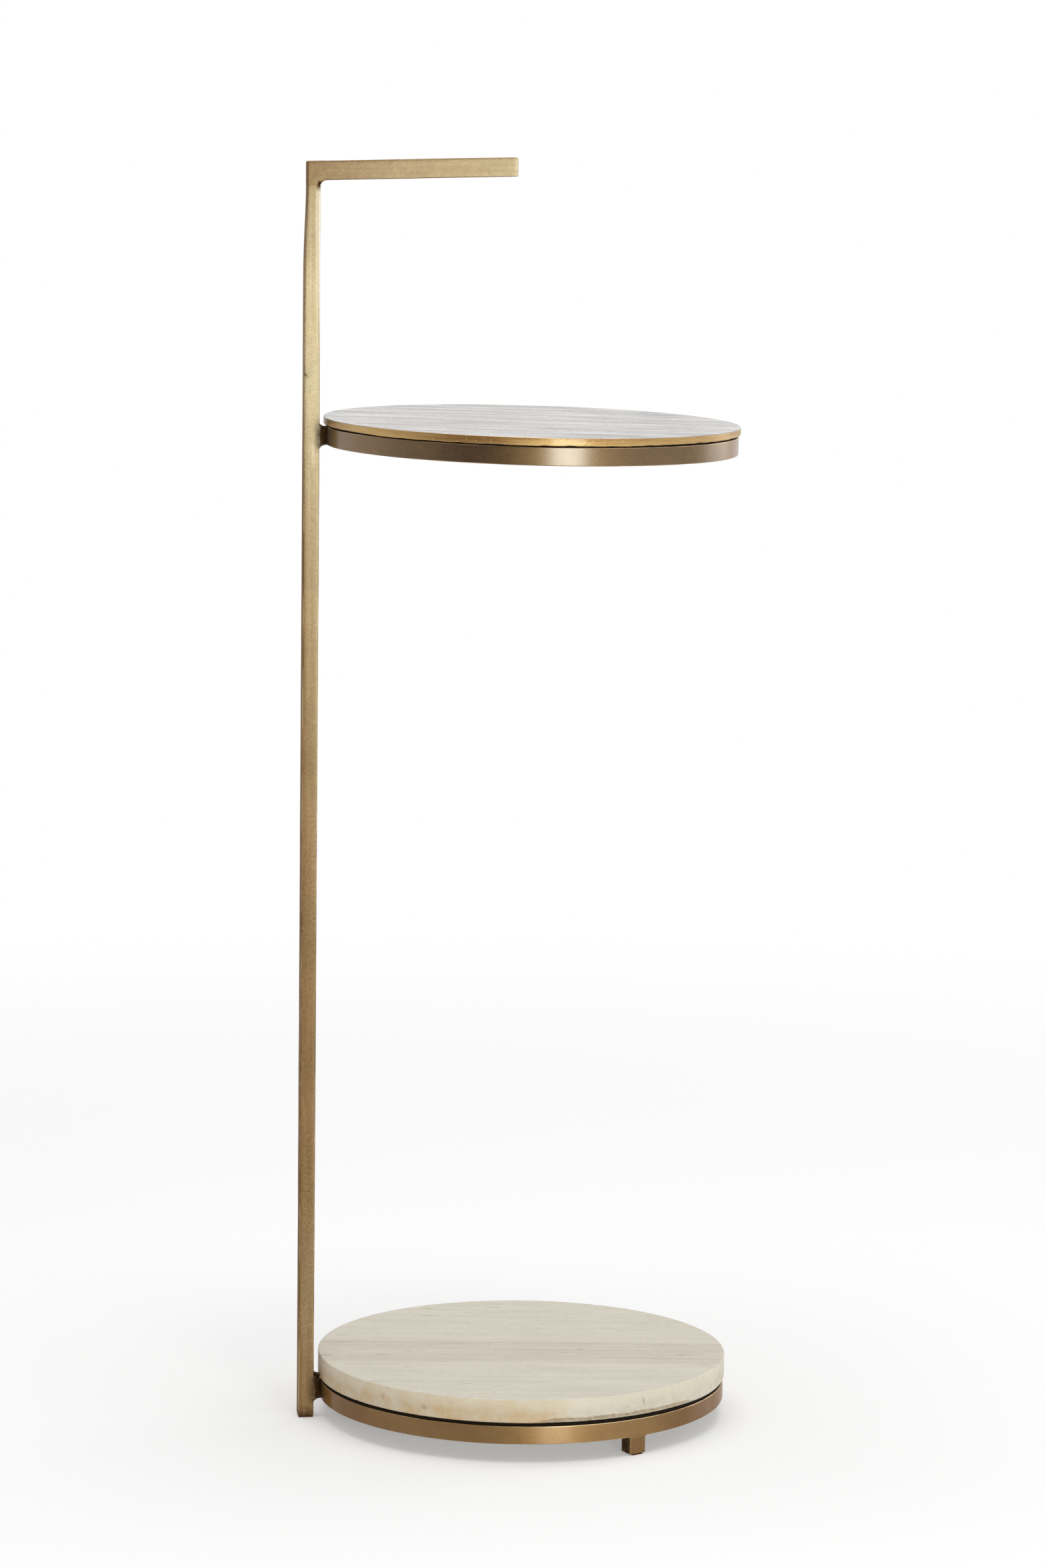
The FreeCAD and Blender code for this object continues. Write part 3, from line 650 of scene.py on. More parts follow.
@built_once("materials", "Pale marble")
def pale_marble(name):
    """Stone finish: cream with fine straight veins, short dark dashes, a greyer band with a seam beside it,
    warm patches and painted light on its side, painted shade on its side by the post and soiled chips on its
    edges."""
    finish, tree, surface = new_finish(name)
    colours = settings().colours
    patina = use_group(tree, patina_group(), blotch_scale=98.0, mottle_scale=280.0, grit_scale=900.0,
                       speck_scale=420.0, speck_share=0.15)
    veins = use_group(tree, streaks_group(), along=7.0, across=210.0, fine_across=800.0)
    clouds = use_group(tree, streaks_group(), along=16.0, across=44.0, fine_across=90.0)
    dashes = use_group(tree, streaks_group(), along=42.0, across=300.0, fine_across=330.0)
    pale_dashes = use_group(tree, streaks_group(), along=34.0, across=260.0, fine_across=420.0)
    wear = use_group(tree, wear_group(), amount=1.0, break_up=120.0)
    # Dirt on the edges, and painted shade on the side by the post.
    soil_and_post_shade = use_group(tree, soot_group(), amount=1.0, break_up=300.0)
    rim = mark_value(tree, "rim")
    flat = maths(tree, "SUBTRACT", 1.0, rim)
    across = grain_axes(tree)[1]
    band = strip_between(tree, across, (-36 * MM, -24 * MM), (10 * MM, 20 * MM))
    waved = weighted(tree, across, (clouds["Broad"], 4 * MM))
    seam = strip_between(tree, waved, (11 * MM, 13.5 * MM), (14.5 * MM, 19 * MM))
    veined = weighted(tree, 0.0, (veins["Broad"], 0.19), (veins["Fine"], 0.11), (clouds["Broad"], 0.18),
                      (clouds["Fine"], 0.10), (patina["Mottle"], 0.13))
    lines = times(tree, dashes["Lines"], weighted(tree, 0.50, (band, 0.46)))
    where = axes_of(tree, object_place(tree))
    warm = times(tree, rim, step_between(tree, where[0], 2 * MM, 24 * MM, 1.0, 0.12))
    patches = weighted(tree, 0.30, (patina["Blotch"], 0.50), (patina["Mottle"], 0.30))
    # Painted light: the upper part of the side lightened as if lit from above.
    painted_top_light = step_between(tree, where[2], 26.5 * MM, 33.5 * MM, 0.0, 0.42)
    base = layered(
        tree, rgb(colours.marble_pale),
        (veined, colours.marble_vein),
        (times(tree, band, weighted(tree, 0.15, (veins["Broad"], 0.20))), colours.marble_band),
        (times(tree, seam, weighted(tree, 0.06, (dashes["Broad"], 0.34))), colours.marble_band),
        (times(tree, times(tree, pale_dashes["Lines"], flat), 0.5), colours.marble_light),
        (times(tree, lines, flat), colours.marble_line),
        (times(tree, warm, patches), colours.marble_tint),
        (times(tree, rim, painted_top_light), colours.marble_painted_top_light),
        (times(tree, patina["Specks"], weighted(tree, 0.12, (rim, 0.3))), colours.marble_line),
        (times(tree, wear["Mask"], 0.12), colours.marble_chip),
        (soil_and_post_shade["Mask"], colours.marble_chip))
    height = weighted(tree, 0.0, (patina["Mottle"], 0.5), (patina["Grit"], 0.3), (patina["Specks"], -0.8))
    set_inputs(tree, surface, {
        "Base Color": base,
        "Roughness": weighted(tree, 0.42, (patina["Mottle"], 0.12)),
        "Normal": bumped(tree, height, 0.08, 0.15 * MM),
    })
    return finish


def small_finish(name, tint, dark_share, metallic, rough, scale):
    """Finish of a small hidden piece: one colour, mottled down to a darker one."""
    if name in bpy.data.materials:
        return bpy.data.materials[name]
    finish, tree, surface = new_finish(name)
    patina = use_group(tree, patina_group(), blotch_scale=90.0, mottle_scale=scale, grit_scale=scale * 2,
                       speck_scale=scale * 3, speck_share=0.3)
    shade = [part * (1 - dark_share) for part in tint]
    blotch = times(tree, patina["Blotch"], 0.35)
    set_inputs(tree, surface, {
        "Base Color": layered(tree, rgb(tint), (patina["Mottle"], shade), (blotch, shade)),
        "Roughness": weighted(tree, rough, (patina["Mottle"], 0.12)),
        "Normal": bumped(tree, patina["Mottle"], 0.25, 0.1 * MM),
        "Metallic": metallic,
        "Specular IOR Level": 0.5 if metallic else 0.12,
    })
    return finish


class Bar:
    """The post and the handle as one bar, bent square at the corner and ground by hand near it."""
    steps, flats = 5, 7
    foot_cut, foot_height = 0.2 * MM, 1.2 * MM
    full_ground, ground_width = 12 * MM, 4.5 * MM
    corner_power = 36
    handle_rows, handle_edge = 42, 0.8
    tip_round = 0.9 * MM

    # Height in millimetres and the rows up to it, closer by the necks and the nick
    spans = ((12, 8), (34, 44), (535, 120), (566, 50), (580, 4), (590, 22))

    def __init__(self):
        self.sizes = settings().bar
        self.outer, self.inner, self.half = POST_LOW.x, POST_HIGH.x, POST_HIGH.y
        self.tip = HANDLE_HIGH.x
        self.climb = math.tan(self.sizes.handle_rise)
        self.corner_top = HANDLE_HIGH.z - self.climb * (self.tip - self.outer)
        self.mid_x = self.inner + self.sizes.fillet
        self.spring = self.under_at(self.inner) - self.sizes.fillet
        self.necks = [Vector((self.inner, 0, sum(corner.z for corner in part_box(name)) / 2))
                      for name in ("upper_neck", "lower_neck")]
        upper, lower = self.necks
        self.pit = Vector((self.inner - 0.5 * MM, -self.half + 0.6 * MM, self.spring + 0.8 * MM))
        self.nick = Vector((self.outer + 0.7 * MM, -self.half, 584.9 * MM))
        self.spur = Vector((self.inner - 0.3 * MM, -self.half, lower.z + 6.2 * MM))
        self.rubbed = Vector((self.inner - 3.6 * MM, -self.half, upper.z - 9 * MM))

    def top_at(self, x):
        """Height of the handle's upper face."""
        return self.corner_top + self.climb * (x - self.outer)

    def under_at(self, x):
        """Height of the handle's lower face."""
        return self.top_at(x) - self.sizes.handle_height / math.cos(self.sizes.handle_rise)

    def slack(self, run, side):
        """How far a face stands back from true."""
        return self.sizes.unevenness * wander(run * 38, side * 7.3)

    def section(self, low_a, high_a, low_b, high_b, ground):
        """A section whose inner front edge is ground by the given share."""
        edge = self.sizes.edge_round
        front = edge + (self.sizes.ground_round - edge) * ground
        return bar_section(low_a, high_a, low_b, high_b, (edge, front, edge, edge), self.steps, self.flats)

    def post(self):
        """Rows of (point, grain place, edge) up the post."""
        sizes, slack, spring = self.sizes, self.slack, self.spring
        levels = [POST_LOW.z + rise for rise in (0.0, 0.25 * MM, 0.6 * MM, self.foot_height)]
        spans = [(height * MM, count) for height, count in self.spans]
        for end, count in spans + [(spring - self.full_ground, 26), (spring, 36)]:
            start = levels[-1]
            levels += [start + (end - start) * k / count for k in range(1, count + 1)]
        for z in levels:
            foot = self.foot_cut * (1 - ease(0, self.foot_height, z - POST_LOW.z))
            thin = sizes.waist * ease(spring - sizes.waist_reach, spring, z)
            ground = ease(spring - sizes.ground_reach, spring - self.full_ground, z)
            section = self.section(self.outer + foot + slack(z, 1) + thin, self.inner - foot - slack(z, 2),
                                   -self.half + foot + slack(z, 3), self.half - foot - slack(z, 4), ground)
            yield [((a, b, z), (z, a, b), edge) for a, b, edge in section]

    def corner(self):
        """Rows fanned round the weld in the inner corner, closer where they pass the outer corner."""
        mid_x, mid_z, fillet, power = self.mid_x, self.spring, self.sizes.fillet, self.corner_power
        waist = self.outer + self.sizes.waist
        bend = math.degrees(math.atan2(self.top_at(waist) - mid_z, mid_x - waist))
        asides = (-1.3, -0.7, -0.3, 0.0, 0.3, 0.7, 1.3)
        for turn in sorted([3.6 * k for k in range(1, 25)] + [bend + aside for aside in asides]):
            angle = math.radians(turn)
            across, up = math.cos(angle), math.sin(angle)
            side = (mid_x - waist) / across
            roof = (self.top_at(mid_x) - mid_z) / (up + self.climb * across)
            reach = (side ** -power + roof ** -power) ** (-1 / power)
            run = self.spring + fillet * angle
            section = self.section(-reach, -fillet, -self.half + self.slack(run, 3),
                                   self.half - self.slack(run, 4), 1 - ease(0, 32.4, turn))
            yield [((mid_x + across * a, b, mid_z - up * a), (run, a, b), edge) for a, b, edge in section]

    def handle(self):
        """Rows along the handle and round its tip."""
        stretch = self.tip - self.tip_round - self.mid_x
        for k in range(self.handle_rows + 1):
            x = self.mid_x + stretch * k / self.handle_rows
            yield self.handle_row(x, [self.slack(x, side) for side in (5, 6, 7, 8)])
        for turn in (30, 60, 90):
            x = self.tip - self.tip_round * (1 - math.sin(math.radians(turn)))
            inset = self.tip_round * (1 - math.cos(math.radians(turn)))
            yield self.handle_row(x, [inset] * 4, turn / 90)

    def handle_row(self, x, insets, least_edge=0.0):
        """One row across the handle, set in from its top, underside, front and rear."""
        top, under, front, rear = insets
        rounds = (self.sizes.edge_round * self.handle_edge,) * 4
        section = bar_section(-self.top_at(x) + top, -self.under_at(x) - under, -self.half + front,
                              self.half - rear, rounds, self.steps, self.flats)
        return [((x, b, -a), (x, a, b), max(edge, least_edge)) for a, b, edge in section]

    def soot_and_shade(self, point, notch):
        """Dark marks: the pit, the weld at each neck, the nick, the spur of the lower weld and the foot."""
        welds = [soft_spot(point, neck, (2.3, math.inf, 7), (2, 2, 4)) for neck in self.necks]
        nick = soft_spot(point, self.nick, (1.1, 2, 0.7), lean=0.8)
        spur = soft_spot(point, self.spur, (1.1, 2, 0.8))
        foot = 1 - ease(0, 8 * MM, point.z - POST_LOW.z)
        return max(min(1.0, 1.3 * notch), 0.65 * max(welds), 0.9 * nick, spur, 0.5 * foot)

    def bare(self, point, edge):
        """Bare metal, lightened also as a painted highlight: the handle's tip, where it stands for the
        highlight on the rounded end, the ground edge, where a painted highlight lies on the bare metal, and a
        rubbed streak on the post.
        """
        tip, spring = self.tip, self.spring
        if point.z > spring:
            return 0.55 * between(point.x, tip - 1.1 * MM, tip - 0.5 * MM, tip - 0.1 * MM, tip)
        streak = 0.2 * soft_spot(point, self.rubbed, (0.9, 1, 7))
        if point.x <= self.inner - self.ground_width or point.y >= 0:
            return streak
        ground = between(point.z, spring - self.sizes.ground_reach, spring - 40 * MM,
                         spring - 4.2 * MM, spring - 0.6 * MM)
        return max(streak, edge * ground)

    def brown(self, point, edge, on_outer_face):
        """Browning along the handle and its edges and up the post, more on its outer side; it is partly
        painted dark reflection, the darker outer side is a painted dark reflection and a lighter band on the
        inner side is a painted highlight.
        """
        inward = point.x - self.outer
        if point.z > self.spring:
            line = 0.3 * edge * (1 - ease(self.tip - 4 * MM, self.tip - 1 * MM, point.x))
            return along_line(HANDLE_BROWNED_AND_SHADED, inward / MM) + line
        rise = point.z / MM
        # The outer side is painted darker as a dark reflection, and a band on the inner side lighter as a
        # painted highlight.
        side_reflection = along_line(POST_SIDE_REFLECTION, rise) * (0.5 - inward / (self.inner - self.outer))
        low_down = 1 - 0.7 * ease(545, 590, rise)
        outer_reflection_band = 0.26 * low_down * (1 - ease(0.8 * MM, 2.8 * MM, inward))
        inner_highlight_band = 0.13 * low_down * ease(6.2 * MM, 8.2 * MM, inward)
        return along_line(POST_BROWNED_AND_SHADED, rise) + side_reflection + 0.4 * on_outer_face + outer_reflection_band - inner_highlight_band

    def shape(self):
        shape = Shape()
        rows = [*self.post(), *self.corner(), *self.handle()]
        for row in rows:
            for index, (place, grain, edge) in enumerate(row):
                point = Vector(place)
                notch = soft_spot(point, self.pit, (0.6, 1.5, 1.4), (2, 2, 4))
                soot_and_shade = self.soot_and_shade(point, notch)
                point += Vector((-0.5 * MM, 1.3 * MM, 0)) * notch
                # Bare metal with a painted highlight on the ground edge and the handle's tip; browning partly
                # painted dark reflection.
                bare = self.bare(point, edge)
                brown = self.brown(point, edge, index == 0 or index >= len(row) - self.flats)
                worn = edge * (1 - bare) if point.z <= self.spring else 0.0
                shape.add(point, grain, edge=worn, soot_and_shade=soot_and_shade, rim=min(1.0, 1.2 * bare),
                          brown=min(max(brown, 0.0), 1.0))
        shape.faces = grid_faces(len(rows), len(rows[0]), caps=True)
        return shape


def turned_profile(corners, bend):
    """(radius, height, edge) points of a turned outline, with its (radius, height) corners rounded."""
    made = []
    steps = 5
    for index, corner in enumerate(corners):
        here = Vector(corner)
        before = Vector(corners[index - 1]) - here
        after = Vector(corners[(index + 1) % len(corners)]) - here
        start, end = here + before.normalized() * bend, here + after.normalized() * bend
        for step in range(steps + 1):
            t = step / steps
            spot = start * (1 - t) ** 2 + here * 2 * t * (1 - t) + end * t ** 2
            made.append((spot.x, spot.y, math.sin(math.pi * t)))
    return made


def round_angles(steps):
    """Angles all round from the post's side, each with its cosine and sine."""
    angles = [-math.pi + 2 * math.pi * step / steps for step in range(steps)]
    return [(angle, math.cos(angle), math.sin(angle)) for angle in angles]


def ring_shape(place, low, seed, browned_and_shaded):
    """A rolled flat-bar ring; low is the height of its underside in the place given, and browned has
    (degrees, share) stops of browning that is partly painted dark reflection."""
    sizes = settings().rounds
    shape = Shape()
    outside, inside, bend = RING_RADIUS, RING_RADIUS - sizes.ring_wall, sizes.ring_edge
    high = low + RING_HEIGHT
    profile = turned_profile(((outside, low), (outside, high), (inside, high), (inside, low)), bend)
    steps = 480
    neck_reach = 4 * MM
    for angle, c, s in round_angles(steps):
        drift = sizes.ring_wander * (wander(3 * c + seed, 3 * s) - 1)
        lift = sizes.ring_wander * (wander(2 * c, 2 * s, seed) - 0.5)
        near_neck = math.exp(-((math.pi - abs(angle)) * RING_RADIUS / neck_reach) ** 2)
        turn = math.degrees(angle)
        brown = along_line(browned_and_shaded, turn)
        # Along the front the upper edges take a stronger mark: a painted highlight where the rounded edge
        # catches the light.
        front = 1 + 1.2 * between(turn, -104, -94, -34, -24)
        for radius, height, edge in profile:
            dark = 0.12 * near_neck if radius > inside + bend else 0.0
            worn = edge * front if height > low + RING_HEIGHT / 2 else edge
            spot = place @ Vector(((radius + drift) * c, (radius + drift) * s, height + lift))
            shape.add(spot, (angle * RING_RADIUS, height, radius), edge=worn, soot_and_shade=dark, brown=brown)
    shape.faces = grid_faces(steps, len(profile), wrap_rows=True)
    return shape


def disc_shape(place, radius, thickness, bend, edges):
    """A round plate with its top at height 0 in the place given. edges.play(angle, z, r) gives how far a
    point moves inwards and towards the middle of the thickness, and how much it is darkened by dirt and by
    painted shade."""
    shape = Shape()
    steps, bend_steps = 720, 6
    spans = [0.5 * MM] + [radius * part for part in (0.15, 0.3, 0.45, 0.6, 0.72, 0.82, 0.9, 0.95, 0.98)]
    side_parts = (0.08, 0.16, 0.24, 0.31, 0.38, 0.45, 0.52, 0.58, 0.63, 0.68, 0.72, 0.76, 0.8, 0.83, 0.86,
                  0.89, 0.92, 0.95, 0.98)
    upper, lower = [], []
    for k in range(bend_steps + 1):
        turn, edge = math.radians(90 * k / bend_steps), math.sin(math.pi * k / bend_steps)
        over, out = bend * (1 - math.cos(turn)), bend * (1 - math.sin(turn))
        upper.append((radius - out, -over, edge, 1.0 if k > bend_steps / 2 else 0.0))
        lower.append((radius - over, -thickness + out, edge, 1.0))
    side = [(radius, -bend - (thickness - 2 * bend) * part, 0.0, 1.0) for part in side_parts]
    face = [(r, 0.0, 0.0, 0.0) for r in spans]
    underside = [(r, -thickness, 0.0, 0.0) for r in reversed(spans)]
    rows = face + upper + side + lower + underside
    angles = round_angles(steps)
    turned = Matrix.Rotation(GRAIN_TURN, 3, "Z")
    for r, z, edge, rim in rows:
        for angle, c, s in angles:
            inward, towards, soiled = edges.play(angle, z, r)
            height = z + (towards if z < -thickness / 2 else -towards)
            spot = Vector(((r - inward) * c, (r - inward) * s, height))
            grain = (angle * radius, z, r) if rim and edges.round_rim else turned @ spot
            # Browning of the rim, partly painted dark reflection, more on its upper half.
            brown = along_line(edges.browned_and_shaded, math.degrees(angle)) + edges.upper_brown * (0.5 + z / thickness)
            shape.add(place @ spot, grain, edge=edge, soot_and_shade=soiled, rim=rim, brown=brown)
    shape.faces = grid_faces(len(rows), steps, caps=True)
    return shape


class TopEdge:
    """Edges of the brass top: a slightly uneven rim, browner in places and more on its upper half, partly as
    painted dark reflection, lower along the front.
    """
    round_rim = True
    upper_brown = 0.4
    browned_and_shaded = RIM_BROWNED_AND_SHADED
    rim_from = 0.985 * TOP_RADIUS
    unevenness, raggedness, front_drop = 0.06 * MM, 0.22 * MM, 0.38 * MM

    def play(self, angle, z, r):
        if r < self.rim_from:
            return 0.0, 0.0, 0.0
        c, s = math.cos(angle), math.sin(angle)
        inward = self.unevenness * wander(9 * c, 9 * s, 2.0)
        if z > -settings().rounds.top_thickness * 0.8:
            return inward, 0.0, 0.0
        ragged = self.raggedness * ease(0.45, 0.8, wander(16 * c, 16 * s, 7.0))
        drop = self.front_drop * between(math.degrees(angle), -158, -140, -74, -58)
        return inward, ragged - drop, 0.0


class MarbleEdge:
    """Edges of the marble: small chips, a few flaws, a ragged, soiled bevel under the front, and painted
    shade on the side by the post.
    """
    round_rim = False
    upper_brown = 0.0
    browned_and_shaded = ((-180, 0.0), (180, 0.0))
    rim_from = 0.985 * MARBLE_RADIUS
    unevenness, chip_reach = 0.03 * MM, 2.2 * MM
    flaw_depth, flaw_lean = 0.35 * MM, 0.25

    def play(self, angle, z, r):
        if r < self.rim_from:
            return 0.0, 0.0, 0.0
        sizes = settings().rounds
        c, s = math.cos(angle), math.sin(angle)
        turn = math.degrees(angle)
        low = z < -MARBLE_THICKNESS / 2
        near = ease(self.chip_reach, 0.0, min(-z, MARBLE_THICKNESS + z))
        flake = ease(0.68, 0.9, wander(26 * c, 26 * s, 3.0 if low else 9.0)) * near
        crumb = ease(0.55, 0.9, wander(90 * c, 90 * s, 5.0 + z * 300)) * near
        inward = sizes.chip_depth * (0.5 * flake + 0.25 * crumb)
        inward += self.unevenness * wander(40 * c, 40 * s, z * 500)
        stretch = between(turn, -97, -89, -50, -36) if low else 0.0
        ragged = 0.45 * wander(60 * c, 60 * s, 4.0) + 0.55 * wander(22 * c, 22 * s, 8.0)
        bevel_height = (1.7 + 2.2 * ragged) * MM * stretch + 1e-6
        cut = min(max(1 - (MARBLE_THICKNESS + z) / bevel_height, 0.0), 1.0)
        inward = max(inward, sizes.bevel_depth * stretch * cut ** 0.8)
        soiled = ease(0.0, 0.2, cut) * (0.95 - 0.4 * ease(0.3, 0.9, cut)) * stretch
        soiled *= 0.55 + 0.45 * wander(130 * c, 130 * s, z * 900)
        for place, depth, wide, tall, strength in MARBLE_FLAWS:
            across, down = math.radians(turn - place) * MARBLE_RADIUS / MM, -z / MM - depth
            flaw = math.exp(-((across - self.flaw_lean * down) / wide) ** 2 - (down / tall) ** 2)
            inward += self.flaw_depth * flaw
            soiled = max(soiled, strength * flaw)
        # Painted shade on the side next to the post.
        post_shade = 0.5 * max(ease(158, 172, turn), 1 - ease(-180, -173, turn)) if z < -0.1 * MM else 0.0
        return inward, 0.3 * sizes.chip_depth * flake, min(1.0, max(soiled + 0.15 * flake, post_shade))


def concave(x, start, end, low, high):
    """Height of a weld that falls in a hollow curve from high at start to low at end."""
    t = min(max((x - start) / (end - start), 0.0), 1.0)
    return low + (high - low) * (1 - math.sqrt(max(0.0, 1 - (1 - t) ** 2)))


def neck_shape(stations, tops, unders, seed, crust, burnt):
    """A welded link from the post to a ring, with the heights of its top and underside at stations along x;
    burnt is the share of soot on its sides, and above the height of its crust it is black."""
    shape = Shape()
    bend, side_gap, taper, roughness = 1.1 * MM, 0.12 * MM, 1.05 * MM, 0.25 * MM
    for index, (x, top, under) in enumerate(zip(stations, tops, unders)):
        run = index / (len(stations) - 1)
        wide = POST_HIGH.y - side_gap - taper * ease(0, 0.95, run)
        section = bar_section(under, top, -wide, wide, (bend,) * 4, 5, 5)
        for z, y, edge in section:
            rough = roughness * (wander(x * 700 + seed, y * 700, z * 700) - 0.5)
            crusted = 0.9 * ease(crust - 1.6 * MM, crust - 0.2 * MM, z)
            dark = max(burnt + 0.2 * ease(0.35, 0.9, run), crusted)
            shape.add((x + rough * 0.3, y + rough, z + rough), (x, y, z), edge=0.2 * edge, soot_and_shade=dark)
    shape.faces = grid_faces(len(stations), len(section), caps=True)
    return shape


def foot_shape(name):
    """A foot block under the lower ring, flush with the ring's face, with rounded lower corners and a weld
    fillet on top. Its sides, its inner part and its rounded bottom are darkened as painted shade."""
    shape = Shape()
    low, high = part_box(name)
    axis = SHELF_PLACE.translation
    middle = (low + high) / 2
    angle = math.atan2(middle.y, middle.x - axis.x)
    half, depth, bend, weld = 5.1 * MM, 9.0 * MM, 0.5 * MM, 1.1 * MM
    face = RING_RADIUS - 0.03 * MM
    weld_from, bend_to = high.z - weld, low.z + bend
    heights = [low.z + bend * (1 - math.cos(math.radians(15 * k))) for k in range(7)]
    heights += [bend_to + (weld_from - bend_to) * k / 4 for k in range(1, 5)]
    heights += [weld_from + weld * k / 5 for k in range(1, 6)] + [high.z + 0.6 * MM]
    for z in heights:
        drop = max(0.0, bend_to - z) / bend
        cut = bend * (1 - math.sqrt(max(0.0, 1 - drop * drop)))
        climb = min(max(0.0, z - weld_from) / weld, 1.0)
        wide = half - cut + weld * (1 - math.sqrt(max(0.0, 1 - climb * climb)))
        front = face - 0.25 * cut
        section = bar_section(front - depth + 0.3 * cut, front, -wide, wide, (bend,) * 4, 4, 4)
        for a, b, edge in section:
            turn = angle + b / RING_RADIUS
            # Painted shade: the sides, the inner part and the rounded bottom are darkened.
            beside = 0.75 if a < face - 0.6 * MM else 0.0
            dark = max(beside, 0.4 * ease(face, face - depth, a), 0.35 * drop)
            spot = (axis.x + a * math.cos(turn), a * math.sin(turn), z)
            shape.add(spot, (turn * RING_RADIUS, z, a), edge=0.2 * edge, soot_and_shade=dark, brown=0.4 * (1 - climb))
    shape.faces = grid_faces(len(heights), len(section), caps=True)
    return shape


def bead_shape(place, turn, level, seed):
    """A weld bead in the corner between a tab's underside and its ring's inner face."""
    shape = Shape()
    radius = RING_RADIUS - settings().rounds.ring_wall
    steps, sides = 36, 10
    spread, size, sunk, deepest = math.radians(9.0), 1.35 * MM, 0.2 * MM, 0.8 * MM
    for step in range(steps + 1):
        run = step / steps
        angle = turn + spread * (run - 0.5)
        ends = math.sqrt(max(0.0, 1 - (2 * run - 1) ** 6)) + 0.05
        ripple = 1 + 0.16 * math.sin(step * 1.75 + seed) + 0.2 * (wander(step * 0.7, seed) - 0.5)
        thick = size * ends * ripple
        for side in range(sides):
            spin = 2 * math.pi * side / sides
            r = min(radius + sunk + thick * math.cos(spin), radius + deepest)
            z = level + sunk + thick * math.sin(spin)
            spot = place @ Vector((r * math.cos(angle), r * math.sin(angle), z))
            shape.add(spot, (angle * radius, r, z), edge=0.2, soot_and_shade=0.6)
    shape.faces = grid_faces(steps + 1, sides, caps=True)
    return shape


def ring_tops():
    """Heights of the upper and lower rings' top edges in the places of their discs."""
    sizes = settings().rounds
    return -sizes.top_thickness - sizes.top_gap, -MARBLE_THICKNESS - MARBLE_GAP


class WINETABLE_OT_bar(bpy.types.Operator):
    """Make the post and the handle as one hand-ground bar"""
    bl_idname = "wine_table.bar"
    bl_label = "Post and handle"

    def execute(self, context):
        add_piece("post_and_handle", Bar().shape(), bar_brass(), "frame_brass", "post", "handle_bar")
        return {"FINISHED"}


class WINETABLE_OT_necks(bpy.types.Operator):
    """Make the two welded links between the post and the rings"""
    bl_idname = "wine_table.necks"
    bl_label = "Necks"

    def execute(self, context):
        face = POST_HIGH.x
        ring = face + 4.0 * MM
        crest_from, crest_to = face - 0.3 * MM, face + 2.6 * MM
        start, end = face - 0.5 * MM, ring + 0.5 * MM
        count = 24
        stations = [start + (end - start) * k / count for k in range(count + 1)]
        low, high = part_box("upper_neck")
        tops = [concave(x, crest_from, ring, high.z - 2.9 * MM, high.z + 0.2 * MM) for x in stations]
        unders = [concave(x, crest_from, ring, low.z + 3.1 * MM, low.z) for x in stations]
        shape = neck_shape(stations, tops, unders, seed=3.0, crust=high.z + 9 * MM, burnt=0.66)
        add_piece("upper_neck_weld", shape, upper_brass(), "frame_brass", "upper_neck")
        low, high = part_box("lower_neck")
        lip = SHELF_PLACE.translation.x - MARBLE_RADIUS - 0.03 * MM
        lip_from = lip - 0.12 * MM
        shelf = high.z - 3.0 * MM + 0.2 * MM
        stations = sorted(stations + [lip_from, lip])
        tops = []
        for x in stations:
            crest = concave(x, crest_from, crest_to, high.z + 0.7 * MM, high.z + 2.9 * MM)
            tops.append(crest + (shelf - crest) * ease(lip_from, lip, x))
        unders = [concave(x, crest_from, ring, low.z + 3.1 * MM, low.z + 0.2 * MM) for x in stations]
        shape = neck_shape(stations, tops, unders, seed=11.0, crust=high.z - 2.2 * MM, burnt=0.76)
        add_piece("lower_neck_weld", shape, lower_brass(), "frame_brass", "lower_neck")
        return {"FINISHED"}


class WINETABLE_OT_rings(bpy.types.Operator):
    """Make the two rolled rings"""
    bl_idname = "wine_table.rings"
    bl_label = "Rings"

    def execute(self, context):
        upper, lower = ring_tops()
        shape = ring_shape(TOP_PLACE, upper - RING_HEIGHT, 1.0, UPPER_BROWNED_AND_SHADED)
        add_piece("upper_rolled_ring", shape, upper_brass(), "frame_brass", "upper_ring")
        shape = ring_shape(SHELF_PLACE, lower - RING_HEIGHT, 5.0, LOWER_BROWNED_AND_SHADED)
        add_piece("lower_rolled_ring", shape, lower_brass(), "frame_brass", "lower_ring")
        return {"FINISHED"}


class WINETABLE_OT_feet(bpy.types.Operator):
    """Make the two foot blocks under the lower ring"""
    bl_idname = "wine_table.feet"
    bl_label = "Feet"

    def execute(self, context):
        add_piece("front_foot_block", foot_shape("front_foot"), lower_brass(), "frame_brass", "front_foot")
        add_piece("rear_foot_block", foot_shape("rear_foot"), lower_brass(), "frame_brass", "rear_foot")
        return {"FINISHED"}


class WINETABLE_OT_tabs(bpy.types.Operator):
    """Finish the six tabs inside the rings and lay their weld beads"""
    bl_idname = "wine_table.tabs"
    bl_label = "Tabs"

    def execute(self, context):
        tab_thickness = 3 * MM
        upper, lower = ring_tops()
        for deck, place, ring_top, finish in (("upper", TOP_PLACE, upper, upper_brass()),
                                              ("lower", SHELF_PLACE, lower, lower_brass())):
            for name, turn in (("post", 180), ("front", -60), ("rear", 60)):
                finish_nodes(finish, f"{deck}_tab_{name}")
                bead = bead_shape(place, math.radians(turn), ring_top - tab_thickness, turn)
                add_piece(f"{deck}_{name}_tab_weld", bead, finish, "frame_brass")
        return {"FINISHED"}


